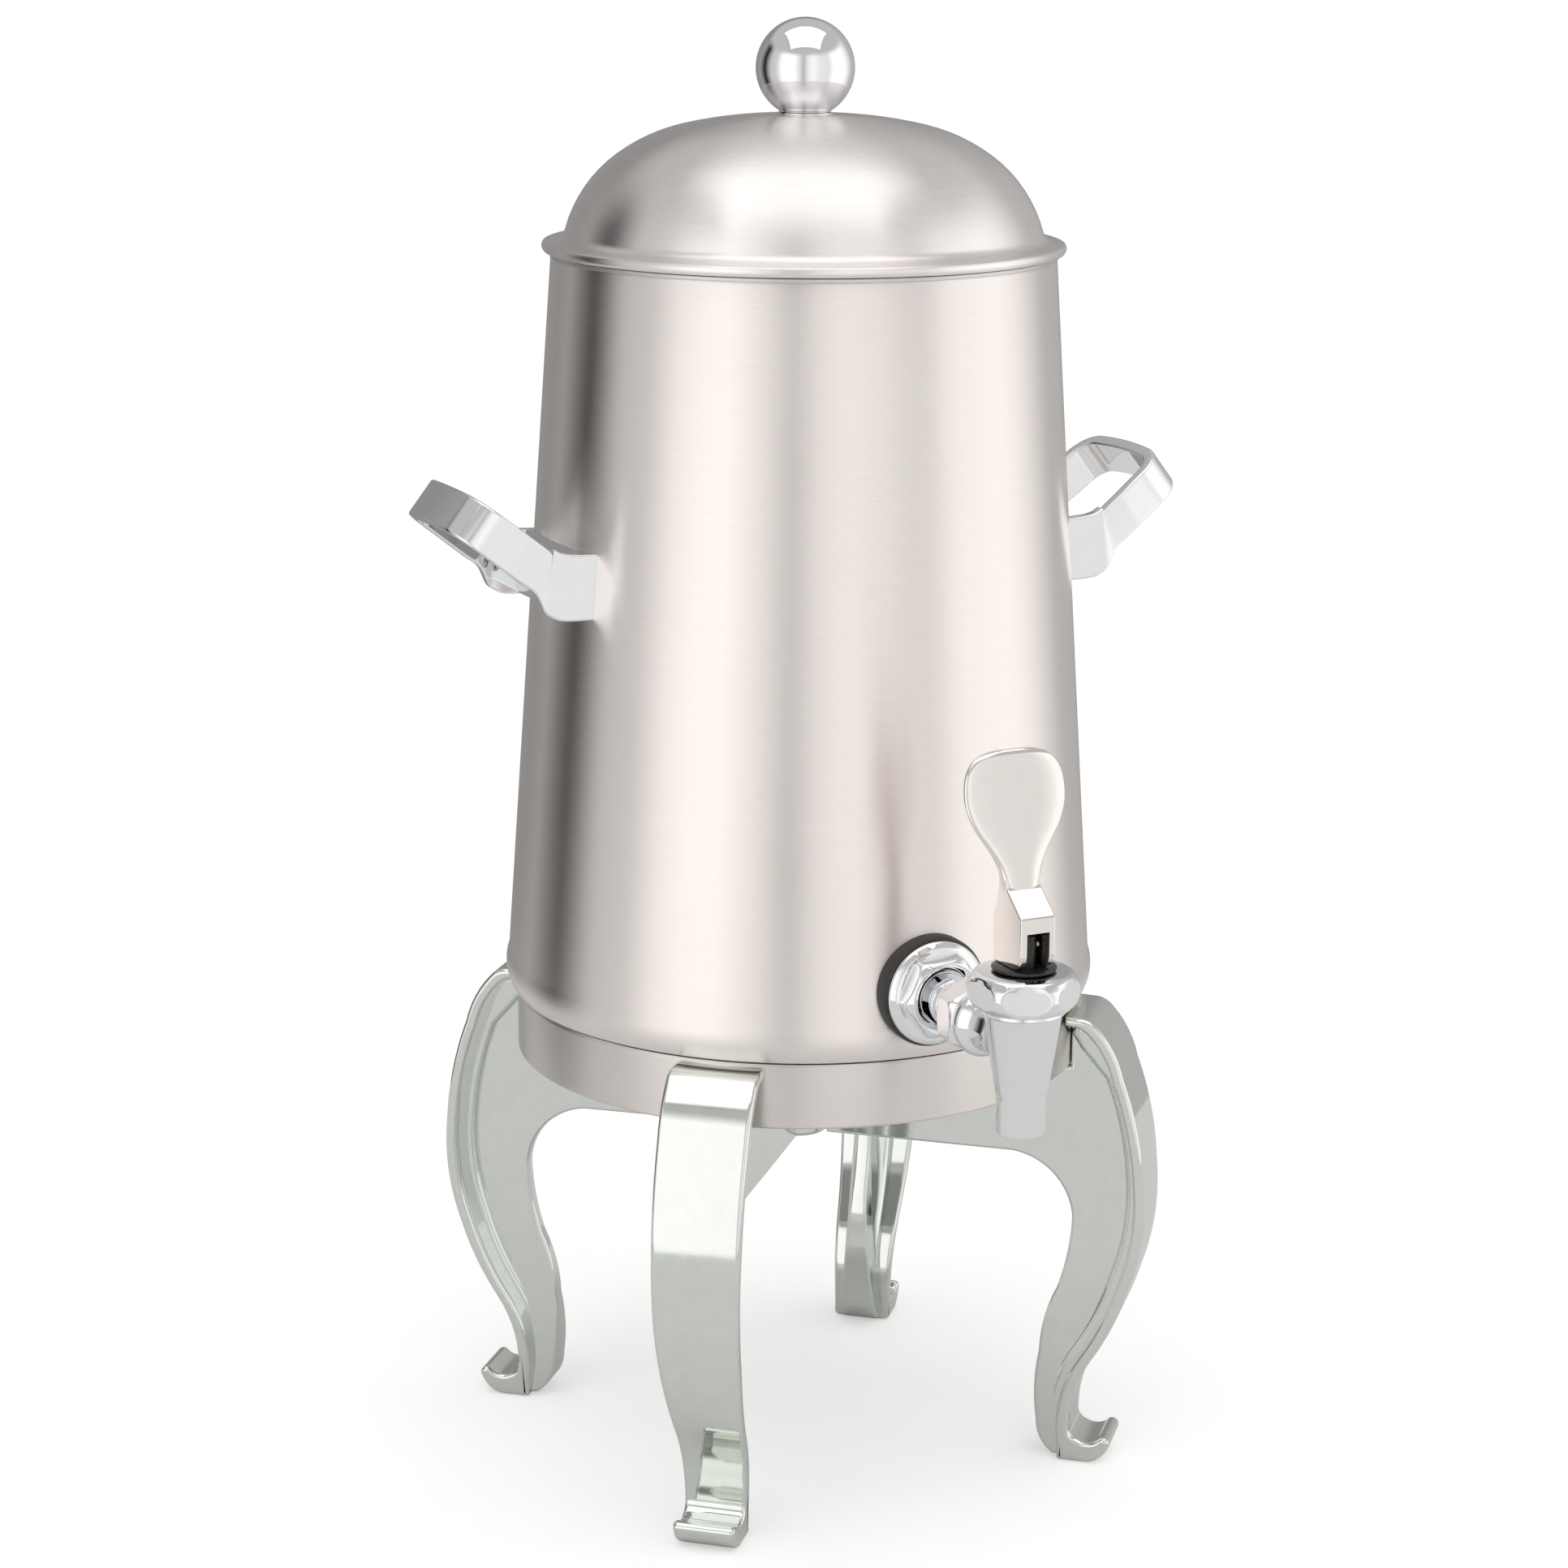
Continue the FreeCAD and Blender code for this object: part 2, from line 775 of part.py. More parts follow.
def make_lid_gasket():
    low = s.plug_bottom + 5
    inner = s.plug_radius + s.fit_gap
    lip = s.plug_radius + 1.6
    corners = [
        (inner, low),
        (lip, low + 0.8, 0.8),
        (lip, low + 2.2),
        (inner + 0.7, low + 3),
        (lip, low + 3.8, 0.8),
        (lip, low + 5.2),
        (inner, low + 6),
    ]
    turned_node("lid_gasket", corners)


def make_knob():
    foot = s.dome_top + 0.6
    ball_drop = math.sqrt(float(s.ball_radius) ** 2 - float(s.neck_radius) ** 2)
    corners = [
        (s.stud_radius, foot),
        (s.neck_radius - 0.4, foot),
        (s.neck_radius, s.ball_level - ball_drop, s.ball_radius),
        (0, s.ball_level + s.ball_radius),
        (0, s.ball_level - 4),
        (s.stud_radius, s.ball_level - 4),
    ]
    turned_node("lid_knob", corners)
    turned_node("knob_washer", tube_outline(s.stud_radius + 0.2, s.neck_radius + 0.4, s.dome_top, foot))
    low = s.dome_top - 9
    high = s.ball_level - 4
    turned_node("knob_stud", [(0, low), (s.stud_radius, low), (s.stud_radius, high), (0, high)])
    spot = turn(UP, 0, 0, 0, s.dome_top - s.lid_wall - 5)
    node(hex_piece("knob_nut", 10.0, 5.0, s.stud_radius, spot), "knob_nut")


# ---------------------------------------------------------------- faucet

# How far the shell's rounded foot swells past its lowest straight part.
BELLY = 0.6
# How far each hexagon is turned about its own axis, in degrees.
NUT_TURN = 5.0
UNION_TURN = 30.0
BONNET_TURN = 34.6


def make_shank():
    """Threaded tube through both walls. Its own axis runs from the reservoir outwards."""
    corners = tube_outline(s.shank_bore, s.shank_radius, 0, s.shank_length)
    turned_node("shank", corners, along_faucet(-s.shank_start, s.shank_level))


def make_shank_gaskets():
    gasket = new_body("shank_gasket")
    outer = s.gasket_radius
    revolve(gasket, [
        (s.shank_radius + s.fit_gap, -6),
        (outer, -6),
        (outer, 5.0, 1.0),
        (outer - 1, 6.0),
        (s.shank_radius + s.fit_gap, 6.0),
    ])
    gasket.Placement = along_faucet(-105.5, s.shank_level)
    room = doc.addObject("Part::Cone", "gasket_shell_room")
    foot_top = s.shell_bottom + s.bend_rise
    bind(room, "Radius1", s.foot_radius)
    bind(room, "Radius2", s.mouth_radius)
    bind(room, "Height", s.shell_top - foot_top)
    room.Placement = turn(UP, 0, 0, 0, foot_top)
    below_spot = turn(UP, 0, 0, 0, foot_top - 30)
    below = cylinder("gasket_foot_room", s.foot_radius + BELLY, 30.0, below_spot)
    node(cut(gasket, [room, below], "shank_gasket"), "shank_gasket")

    seal = new_body("inner_seal")
    revolve(seal, tube_outline(s.shank_radius + s.fit_gap, 13.0, -5.0, 3.0))
    seal.Placement = along_faucet(-97.0, s.shank_level)
    inside = doc.addObject("Part::Cone", "seal_liner_room")
    liner_foot = s.foot_radius - 2 * s.shell_wall - s.wall_gap
    liner_mouth = s.mouth_radius - 2 * s.shell_wall - s.wall_gap
    bind(inside, "Radius1", liner_foot)
    bind(inside, "Radius2", liner_mouth)
    bind(inside, "Height", s.shell_top - s.liner_bottom - 9)
    inside.Placement = turn(UP, 0, 0, 0, s.liner_bottom + 9)
    common = doc.addObject("Part::Common", "inner_seal_common")
    common.Base = seal
    common.Tool = inside
    node(common, "inner_seal")


def make_lock_nut():
    spot = along_faucet(-88.2, s.shank_level)
    node(hex_piece("inner_lock_nut", 21.0, 3.6, s.shank_radius + s.fit_gap, spot), "inner_lock_nut")


def make_flange_nut():
    """Flanged nut that squeezes the gasket: a round flange, a chamfered hexagon, a recess."""
    body = new_body("flange_nut")
    revolve(body, [
        (s.shank_radius + s.fit_gap, 0),
        (s.flange_radius, 0),
        (s.flange_radius, 1.2, 1.6),
        (s.flange_radius - 1.8, 2.6),
        (s.nut_flats / 2 + 0.6, 3.0),
        (s.nut_flats / 2 + 1.6, 7.0, 2.6),
        (s.nut_flats / 2 - 0.8, 9.0),
        (11.4, 9.0),
        (9.8, 6.0),
        (s.shank_radius + s.fit_gap, 6.0),
    ])
    blank = cylinder("nut_band", 22.0, 8.0, turn(UP, 0, 0, 0, 3.0))
    prism = hex_piece("nut_prism", s.nut_flats, 20.0, 0, turn(UP, NUT_TURN, 0, 0, -5))
    ring = cut(blank, [prism], "nut_flats_ring")
    nut = cut(body, [ring], "flange_nut")
    nut.Placement = along_faucet(-111.5, s.shank_level)
    node(nut, "flange_nut")


def make_coupling():
    """Union between shank and valve: a sleeve over the shank, a hexagon, and a spigot."""
    across = s.union_flats / 2
    sleeve = s.shank_radius + 1.3
    spigot = s.spigot_radius
    body = new_body("faucet_coupling")
    revolve(body, [
        (s.shank_radius + s.fit_gap, 0),
        (sleeve, 0),
        (sleeve, 16.0),
        (across + 0.4, 17.8),
        (across + 1.4, 19.6),
        (across + 1.4, 26.0, 5.0),
        (across - 0.8, 28.5),
        (spigot, 28.5),
        (spigot, 31.5),
        (s.shank_bore, 31.5),
        (s.shank_bore, 28.0),
        (s.shank_radius + s.fit_gap, 28.0),
    ])
    blank = cylinder("union_band", 22.0, 14.0, turn(UP, 0, 0, 0, 16.2))
    prism = hex_piece("union_prism", s.union_flats, 44.0, 0, turn(UP, UNION_TURN, 0, 0, -2))
    ring = cut(blank, [prism], "union_flats_ring")
    coupling = cut(body, [ring], "faucet_coupling")
    coupling.Placement = along_faucet(-117.55, s.shank_level)
    node(coupling, "faucet_coupling")


def port_spot(behind):
    """A placement on the port's axis, that far behind the valve's axis, facing forwards."""
    return turn(VECTOR(1, 0, 0), 90, 0, behind, s.shank_level)


def make_faucet_body():
    """Conical valve body with a seat, an outlet and a side port towards the urn."""
    seat = 188.0
    body = new_body("faucet_body")
    revolve(body, [
        (0, s.outlet_bottom),
        (s.outlet_radius - 0.5, s.outlet_bottom, 0.6),
        (s.outlet_radius, s.outlet_bottom + 0.5),
        (s.outlet_radius, 185.0),
        (s.outlet_radius + 0.5, 186.2),
        (s.body_radius, s.body_top - 3),
        (s.body_radius + 1.2, s.body_top - 2.4),
        (s.body_radius + 1.2, s.body_top + 5),
        (0, s.body_top + 5),
    ])
    collar = cylinder("port_collar", s.spigot_radius + 1.8, 5.6, port_spot(27.7))
    neck = cylinder("port_neck", s.spigot_radius - 1.2, 18.0, port_spot(24.0))
    fused = doc.addObject("Part::MultiFuse", "faucet_body_fuse")
    fused.Shapes = [body, collar, neck]
    chamber = doc.addObject("Part::Cone", "chamber")
    bind(chamber, "Radius1", s.body_radius - 5.9)
    bind(chamber, "Radius2", s.body_radius - 0.9)
    bind(chamber, "Height", 36.0)
    chamber.Placement = turn(UP, 0, 0, 0, seat)
    tools = [
        chamber,
        cylinder("outlet_drill", s.outlet_bore, 14.0, turn(UP, 0, 0, 0, s.outlet_bottom - 2)),
        cylinder("seat_drill", s.outlet_bore - 2, 20.0, turn(UP, 0, 0, 0, s.outlet_bottom)),
        cylinder("port_drill", s.shank_bore, 34.0, port_spot(31.0)),
        cylinder("port_socket", s.spigot_radius + s.running_gap, 6.6, port_spot(31.0)),
    ]
    valve = cut(fused, tools, "faucet_body")
    valve.Placement = turn(UP, 0, 0, -s.faucet_reach, 0)
    node(valve, "faucet_body")


def make_bonnet():
    """Screw cap with a domed edge and six flats that meet it in ovals."""
    flat = s.bonnet_radius - 1.5
    thread = s.body_radius + 1.2 + s.fit_gap
    body = new_body("bonnet")
    revolve(body, [
        (thread, s.bonnet_bottom),
        (s.bonnet_radius - 3.4, s.bonnet_bottom, 5.0),
        (s.bonnet_radius, s.bonnet_bottom + 4.4),
        (s.bonnet_radius, s.bonnet_bottom + 6.6, 6.0),
        (s.bonnet_radius - 3.2, s.bonnet_top),
        (s.stem_radius + s.running_gap, s.bonnet_top),
        (s.stem_radius + s.running_gap, s.bonnet_top - 4),
        (thread, s.bonnet_top - 4),
    ])
    blank = cylinder("bonnet_band", 25.0, 20.0, turn(UP, 0, 0, 0, s.bonnet_bottom - 2))
    prism = hex_piece("bonnet_prism", flat * 2, 30.0, 0, turn(UP, BONNET_TURN, 0, 0, s.bonnet_bottom - 6))
    ring = cut(blank, [prism], "bonnet_flats_ring")
    bonnet = cut(body, [ring], "bonnet")
    bonnet.Placement = turn(UP, 0, 0, -s.faucet_reach, 0)
    node(bonnet, "bonnet")


def make_stem_group():
    """Everything on the valve's vertical axis: washer, stem, seat cup, spring and pin."""
    axis = turn(UP, 0, 0, -s.faucet_reach, 0)
    top = s.bonnet_top
    step = s.washer_radius - 3
    turned_node("stem_washer", [
        (s.stem_radius + s.running_gap, top),
        (step, top),
        (step, top + 0.6),
        (s.washer_radius, top + 0.6),
        (s.washer_radius, top + s.washer_thick + 0.3),
        (s.stem_radius + s.running_gap, top + s.washer_thick + 0.3),
    ], axis)

    stem = new_body("stem")
    revolve(stem, [
        (0, 196.0),
        (s.stem_radius, 196.0),
        (s.stem_radius, s.pin_level + 3.6),
        (s.stem_radius - 1.2, s.pin_level + 4.8),
        (0, s.pin_level + 4.8),
    ])
    pocket(stem, "YZ_Plane", circles=[(0, s.pin_level, s.pin_radius)])
    stem.Placement = axis
    node(stem, "stem")

    turned_node("seat_cup", [
        (0, 188.1),
        (5.4, 188.1),
        (6.6, 190.5, 4.0),
        (6.4, 195.9),
        (0, 195.9),
    ], axis)
    make_spring(axis)

    pin = cylinder("hinge_pin_rod", s.pin_radius, s.fork_width, FreeCAD.Placement())
    pin.Placement = turn(VECTOR(0, 1, 0), 90, -s.fork_width / 2, -s.faucet_reach, s.pin_level)
    node(pin, "hinge_pin")


def make_spring(axis):
    """Return spring between the seat cup and the bonnet: a round wire on a helix."""
    wire = 0.55
    low = 196.1 + wire
    high = float(s.bonnet_top) - 4.2 - wire
    helix = Part.makeHelix((high - low) / 6, high - low, 6.4)
    start = helix.Vertexes[0].Point
    ring = Part.Wire(Part.makeCircle(wire, start, VECTOR(0, 1, 0)))
    coil = Part.Wire(helix.Edges).makePipeShell([ring], True, False)
    spring = doc.addObject("Part::Feature", "valve_spring")
    spring.Shape = coil
    spring.Placement = axis.multiply(turn(UP, 0, 0, 0, low))
    node(spring, "valve_spring")


def make_lever():
    """Paddle lever: a fork with a cam nose, a short neck and a rounded blade leaning back."""
    body = new_body("lever")
    nose = s.cam_offset
    drop = s.pin_level - s.bonnet_top - s.washer_thick - 0.3 - 0.1
    side_view = [
        (9.6, -drop),
        (-nose, -drop, drop * 1.0001),
        (-nose - drop, 0),
        (-nose - drop, 9.5),
        (0.6, 18.8),
        (8.2, 60.0),
        (10.8, 66.0, 2.4),
        (14.0, 66.0),
        (11.8, 55.0),
        (6.2, 21.0),
        (10.2, 9.0),
    ]
    pad(body, "YZ_Plane", s.lever_width, [side_view])

    half = s.lever_width / 2
    fork = s.fork_width / 2
    outline = [
        (-fork, -12.0),
        (fork, -12.0),
        (fork, 13.0),
        (fork + 0.6, 20.0, -40.0),
        (half - 3.0, 38.0, 34.0),
        (half, 51.0, 14.0),
        (half - 7.0, 63.6, 22.0),
        (0, 65.6, 22.0),
        (-half + 7.0, 63.6, 14.0),
        (-half, 51.0, 34.0),
        (-half + 3.0, 38.0, -40.0),
        (-fork - 0.6, 20.0),
        (-fork, 13.0),
    ]
    blank = [(-30.0, -14.0), (30.0, -14.0), (30.0, 90.0), (-30.0, 90.0)]
    pocket(body, "XZ_Plane", [blank, outline])
    slot = s.slot_width / 2
    pocket(body, "XZ_Plane", [[(-slot, -13.0), (slot, -13.0), (slot, 6.4), (-slot, 6.4)]])
    pocket(body, "YZ_Plane", circles=[(0, 0, s.pin_radius + s.running_gap)])
    body.Placement = turn(UP, 0, 0, -s.faucet_reach, s.pin_level)
    node(body, "lever")


# ---------------------------------------------------------------- whole urn

def make_everything():
    make_outer_shell()
    make_inner_liner()
    make_mouth_rim()
    make_base_ring()
    make_base_plate()
    make_ring_screws()
    make_leg_screws()
    names = ["leg_back_right", "leg_back_left", "leg_front_left", "leg_front_right"]
    for name, angle in zip(names, leg_angles()):
        make_leg(name, angle)
    make_stand_hub()
    make_stand_bolt()
    make_stand_nut()
    make_handle("handle_right", 1)
    make_handle("handle_left", -1)
    make_handle_screws()
    make_handle_nuts()
    make_lid_dome()
    make_lid_plug()
    make_lid_gasket()
    make_knob()
    make_shank()
    make_shank_gaskets()
    make_lock_nut()
    make_flange_nut()
    make_coupling()
    make_faucet_body()
    make_bonnet()
    make_stem_group()
    make_lever()
    doc.recompute()


def check_everything():
    """Stop before writing if any object failed or any sub-part has no sound shape."""
    faults = []
    for item in doc.Objects:
        if "Invalid" in item.State or "Error" in item.State:
            faults.append(f"{item.Label}: {item.State}")
    for item in NODES:
        if item.Shape.isNull() or not item.Shape.isValid() or not item.Shape.Solids:
            faults.append(f"{item.Label}: no sound shape")
    if faults:
        raise RuntimeError("; ".join(faults))


def write_everything():
    os.makedirs("parts", exist_ok=True)
    for item in NODES:
        item.Shape.exportStep(os.path.join("parts", item.Label + ".step"))
        box = item.Shape.BoundBox
        print(f"{item.Label:18s} solids {len(item.Shape.Solids)}  volume {item.Shape.Volume:10.1f}  "
              f"z {box.ZMin:6.1f} to {box.ZMax:6.1f}")


make_everything()
check_everything()
write_everything()
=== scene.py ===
import json
import math

import bmesh
import bpy
from mathutils import Matrix, Vector


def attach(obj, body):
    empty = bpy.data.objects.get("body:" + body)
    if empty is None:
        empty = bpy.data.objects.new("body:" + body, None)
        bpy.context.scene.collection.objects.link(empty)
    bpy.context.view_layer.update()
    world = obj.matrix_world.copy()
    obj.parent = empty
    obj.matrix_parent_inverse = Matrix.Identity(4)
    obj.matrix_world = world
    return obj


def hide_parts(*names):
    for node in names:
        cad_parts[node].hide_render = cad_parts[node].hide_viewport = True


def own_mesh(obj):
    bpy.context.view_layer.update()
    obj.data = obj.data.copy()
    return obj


# Double-walled coffee urn: brushed steel body and lid, bright handles, knob and faucet, cast nickel legs.
# Profiles are written in millimetres, and loose_piece() turns them into metres.

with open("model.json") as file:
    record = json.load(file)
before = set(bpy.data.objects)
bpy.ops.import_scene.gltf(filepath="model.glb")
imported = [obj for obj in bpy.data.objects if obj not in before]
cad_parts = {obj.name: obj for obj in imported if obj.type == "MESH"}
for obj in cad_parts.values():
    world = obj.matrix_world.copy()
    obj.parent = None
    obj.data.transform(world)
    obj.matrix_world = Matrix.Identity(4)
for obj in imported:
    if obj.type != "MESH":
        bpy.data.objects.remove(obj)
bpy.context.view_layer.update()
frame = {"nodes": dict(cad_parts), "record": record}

MM = 0.001
UP = Vector((0, 0, 1))
CAMERA_TURN = math.radians(-25.4)
LEG_TURN = 4.6
VALVE_REACH = 174.0
PORT_LEVEL = 203.0
PIN_LEVEL = 237.0
HANDLE_ROOT = 97.0
HANDLE_LEVEL = 332.9
HANDLE_RISE = math.radians(38.0)
STRAP_HALF = 7.5

# Light levels: the cards round the urn, the grey above them, the box overhead and its dark frame.
CARD_LEVEL = 1.38
SKY_LEVEL = 0.56
BOX_LEVEL = 1.35
FRAME_DEPTH = 1.8
BACKDROP_LEVEL = 1.02
FLOOR_LIFT = 0.4


# ---------------------------------------------------------------- shader values

class Wire:
    """A shader socket that is summed and scaled in plain Python."""

    def __init__(self, tree, socket=None):
        self.tree = tree
        self.socket = socket

    def node(self, kind, sockets=None, out=0, stops=None, **settings):
        """Adds a node: its settings first, then what its sockets hold or are linked to."""
        made = self.tree.nodes.new(kind)
        for name, value in settings.items():
            setattr(made, name, value)
        if stops:
            ramp = made.color_ramp
            while len(ramp.elements) < len(stops):
                ramp.elements.new(0.5)
            for element, (place, shade) in zip(ramp.elements, stops):
                element.position = place
                element.color = (shade, shade, shade, 1)
        for key, value in (sockets or {}).items():
            if isinstance(value, Wire):
                self.tree.links.new(value.socket, made.inputs[key])
            else:
                made.inputs[key].default_value = value
        return Wire(self.tree, made.outputs[out])

    def maths(self, operation, *values):
        return self.node("ShaderNodeMath", dict(enumerate(values)), operation=operation)

    def __add__(self, other):
        return self.maths("ADD", self, other)

    __radd__ = __add__

    def __sub__(self, other):
        return self.maths("SUBTRACT", self, other)

    def __rsub__(self, other):
        return self.maths("SUBTRACT", other, self)

    def __mul__(self, other):
        return self.maths("MULTIPLY", self, other)

    __rmul__ = __mul__

    def __truediv__(self, other):
        return self.maths("DIVIDE", self, other)

    def __pow__(self, other):
        return self.maths("POWER", self, other)

    def fade(self, low, high):
        """0 below low, 1 above high, with a soft run between them."""
        sockets = {"Value": self, "From Min": low, "From Max": high}
        return self.node("ShaderNodeMapRange", sockets, interpolation_type="SMOOTHSTEP", clamp=True)

    def tint(self, dark, light):
        """The colour dark where this is 0, and light where it is 1."""
        sockets = {0: self, 6: (*dark, 1), 7: (*light, 1)}
        return self.node("ShaderNodeMix", sockets, out=2, data_type="RGBA")

    def parts(self):
        """The three numbers of a vector."""
        made = self.node("ShaderNodeSeparateXYZ", {0: self})
        outputs = made.socket.node.outputs
        return [Wire(self.tree, outputs[i]) for i in range(3)]

    def vector(self, x, y, z):
        return self.node("ShaderNodeCombineXYZ", {0: x, 1: y, 2: z})

    def noise(self, where, scale, detail=2.0, rough=0.5):
        sockets = {"Vector": where, "Scale": scale, "Detail": detail, "Roughness": rough}
        return self.node("ShaderNodeTexNoise", sockets)

    def end_in(self, kind):
        """Ends the tree in an output node."""
        self.tree.links.new(self.socket, self.tree.nodes.new(kind).inputs[0])


def start_material(name):
    """An empty material with its output, and the wire that adds nodes to it."""
    material = bpy.data.materials.new(name)
    material.use_nodes = True
    material.node_tree.nodes.clear()
    return material, Wire(material.node_tree)


def end_material(material, wire, colour, roughness, normal, **fixed):
    """The shader: what varies is linked, and what is the same everywhere is set on its socket."""
    sockets = {"Base Color": colour, "Roughness": roughness, "Normal": normal}
    for name, value in fixed.items():
        sockets[name.replace("_", " ")] = value
    wire.node("ShaderNodeBsdfPrincipled", sockets).end_in("ShaderNodeOutputMaterial")
    return material


def object_place(wire):
    """The place on the piece in metres, in the urn's own frame."""
    return wire.node("ShaderNodeTexCoord", out=3)


def brushed_steel(name, light, dark, roughness, along_slope=0.0, anisotropy=0.9):
    """Steel brushed round the urn: hair lines that run round its axis and fade in and out.

    along_slope lets the lines step outwards too, for a dome or a flat. The quarter turn of the
    anisotropy draws highlights out up and down, across the lines.
    """
    material, wire = start_material(name)
    x, y, z = object_place(wire).parts()
    angle = wire.maths("ARCTAN2", y, x)
    reach = (x * x + y * y) ** 0.5
    across = z + reach * along_slope
    hair = wire.noise(wire.vector(angle * 0.9, across * 1500, reach * 3), 6.0, 3.0, 0.6)
    scratch = wire.noise(wire.vector(angle * 2.2, across * 420, reach * 2), 9.0, 4.0, 0.62)
    cloud = wire.noise(wire.vector(angle * 1.2, across * 9, reach), 2.5, 2.0, 0.5)
    grain = hair * 0.55 + scratch * 0.3 + cloud * 0.15
    colour = grain.fade(0.32, 0.68).tint(dark, light)
    rough = roughness + (scratch - 0.5) * 0.09 + (cloud - 0.5) * 0.05
    bump = wire.node("ShaderNodeBump", {"Strength": 0.35, "Distance": 0.00002, "Height": hair})
    return end_material(
        material, wire, colour, rough, bump,
        Metallic=1.0, Anisotropic=anisotropy, Anisotropic_Rotation=0.25)


def bright_plate(name, light, dark, roughness, ripple, grime):
    """Polished plating: faint waviness, soft cloudy wipe marks and tiny pits."""
    material, wire = start_material(name)
    place = object_place(wire)
    wave = wire.noise(place, 60.0, 1.0)
    wipe = wire.noise(place, 190.0, 4.0, 0.6)
    speck = wire.noise(place, 1500.0, 1.0).fade(0.7, 0.78)
    colour = (wipe.fade(0.3, 0.75) * (1 - speck * 0.5)).tint(dark, light)
    rough = roughness + wipe.fade(0.45, 0.8) * grime + speck * 0.1
    height = wave + speck * 0.1
    bump = wire.node("ShaderNodeBump", {"Strength": 0.25, "Distance": ripple, "Height": height})
    return end_material(material, wire, colour, rough, bump, Metallic=1.0)


def plain_part(name, light, dark, roughness, scale, depth, metallic=0.0):
    """A moulded or turned part: fine grain and an uneven sheen."""
    material, wire = start_material(name)
    place = object_place(wire)
    grain = wire.noise(place, scale, 4.0, 0.6)
    patch = wire.noise(place, scale * 0.08, 2.0)
    colour = (grain * 0.5 + patch * 0.5).fade(0.3, 0.7).tint(dark, light)
    rough = roughness + (patch - 0.5) * 0.16 + (grain - 0.5) * 0.08
    bump = wire.node("ShaderNodeBump", {"Strength": 0.4, "Distance": depth, "Height": grain})
    return end_material(material, wire, colour, rough, bump, Metallic=metallic)


CHROME = (0.88, 0.885, 0.90)
CHROME_SHADE = (0.86, 0.865, 0.88)

FINISHES = {
    "brushed_shell": brushed_steel(
        "shell steel", (0.93, 0.875, 0.845), (0.86, 0.805, 0.775), 0.30, anisotropy=0.98),
    "brushed_band": brushed_steel(
        "band steel", (0.84, 0.80, 0.765), (0.775, 0.735, 0.705), 0.34, anisotropy=0.95),
    "brushed_lid": brushed_steel(
        "lid steel", (0.93, 0.885, 0.875), (0.865, 0.82, 0.81), 0.29, 0.8, 0.93),
    "inner_steel": brushed_steel(
        "inner steel", (0.74, 0.74, 0.74), (0.6, 0.6, 0.6), 0.42, 0.3, 0.6),
    "leg_plate": bright_plate(
        "cast nickel plate", (0.775, 0.80, 0.765), (0.745, 0.77, 0.735), 0.055, 0.00004, 0.02),
    "handle_chrome": bright_plate("handle chrome", CHROME, CHROME_SHADE, 0.022, 0.00002, 0.012),
    "knob_chrome": bright_plate("knob chrome", CHROME, CHROME_SHADE, 0.015, 0.00001, 0.01),
    "faucet_chrome": bright_plate("faucet chrome", CHROME, CHROME_SHADE, 0.02, 0.00002, 0.012),
    "lever_nickel": bright_plate(
        "lever nickel", (0.86, 0.825, 0.79), (0.84, 0.805, 0.77), 0.03, 0.00002, 0.012),
    "black_rubber": plain_part(
        "black rubber", (0.035, 0.033, 0.03), (0.018, 0.017, 0.016), 0.5, 2500.0, 0.00003),
    "black_plastic": plain_part(
        "black plastic", (0.02, 0.02, 0.02), (0.009, 0.009, 0.009), 0.28, 1800.0, 0.00001),
    "clear_silicone": plain_part(
        "milky silicone", (0.72, 0.71, 0.68), (0.6, 0.59, 0.56), 0.42, 900.0, 0.00003),
    "fastener_steel": plain_part(
        "screw steel", (0.68, 0.68, 0.69), (0.5, 0.5, 0.51), 0.3, 1200.0, 0.00003, metallic=1.0),
}


# ---------------------------------------------------------------- lines and outlines

def bent(a, b, bend):
    """Points from a to just before b, on an arc that bulges to the right of travel if bend is positive."""
    ax, ay, bx, by = a[0], a[1], b[0], b[1]
    span = math.hypot(bx - ax, by - ay)
    if not bend:
        return [(ax, ay)]
    radius = max(abs(bend), span / 2 * 1.0001)
    rise = math.sqrt(radius * radius - span * span / 4)
    side = 1 if bend > 0 else -1
    across = ((by - ay) / span * side, -(bx - ax) / span * side)
    cx = (ax + bx) / 2 - across[0] * rise
    cy = (ay + by) / 2 - across[1] * rise
    first = math.atan2(ay - cy, ax - cx)
    swing = math.atan2(by - cy, bx - cx) - first
    swing = (swing + math.pi) % (2 * math.pi) - math.pi
    steps = max(3, int(abs(swing) / math.radians(5)), int(span / 4))
    angles = [first + swing * i / steps for i in range(steps)]
    return [(cx + radius * math.cos(angle), cy + radius * math.sin(angle)) for angle in angles]


def at_length(line, sums, length):
    """The point that far along a line."""
    for i in range(len(line) - 1):
        if length <= sums[i + 1]:
            share = (length - sums[i]) / max(sums[i + 1] - sums[i], 1e-9)
            return tuple(line[i][k] + (line[i + 1][k] - line[i][k]) * share for k in (0, 1))
    return line[-1]


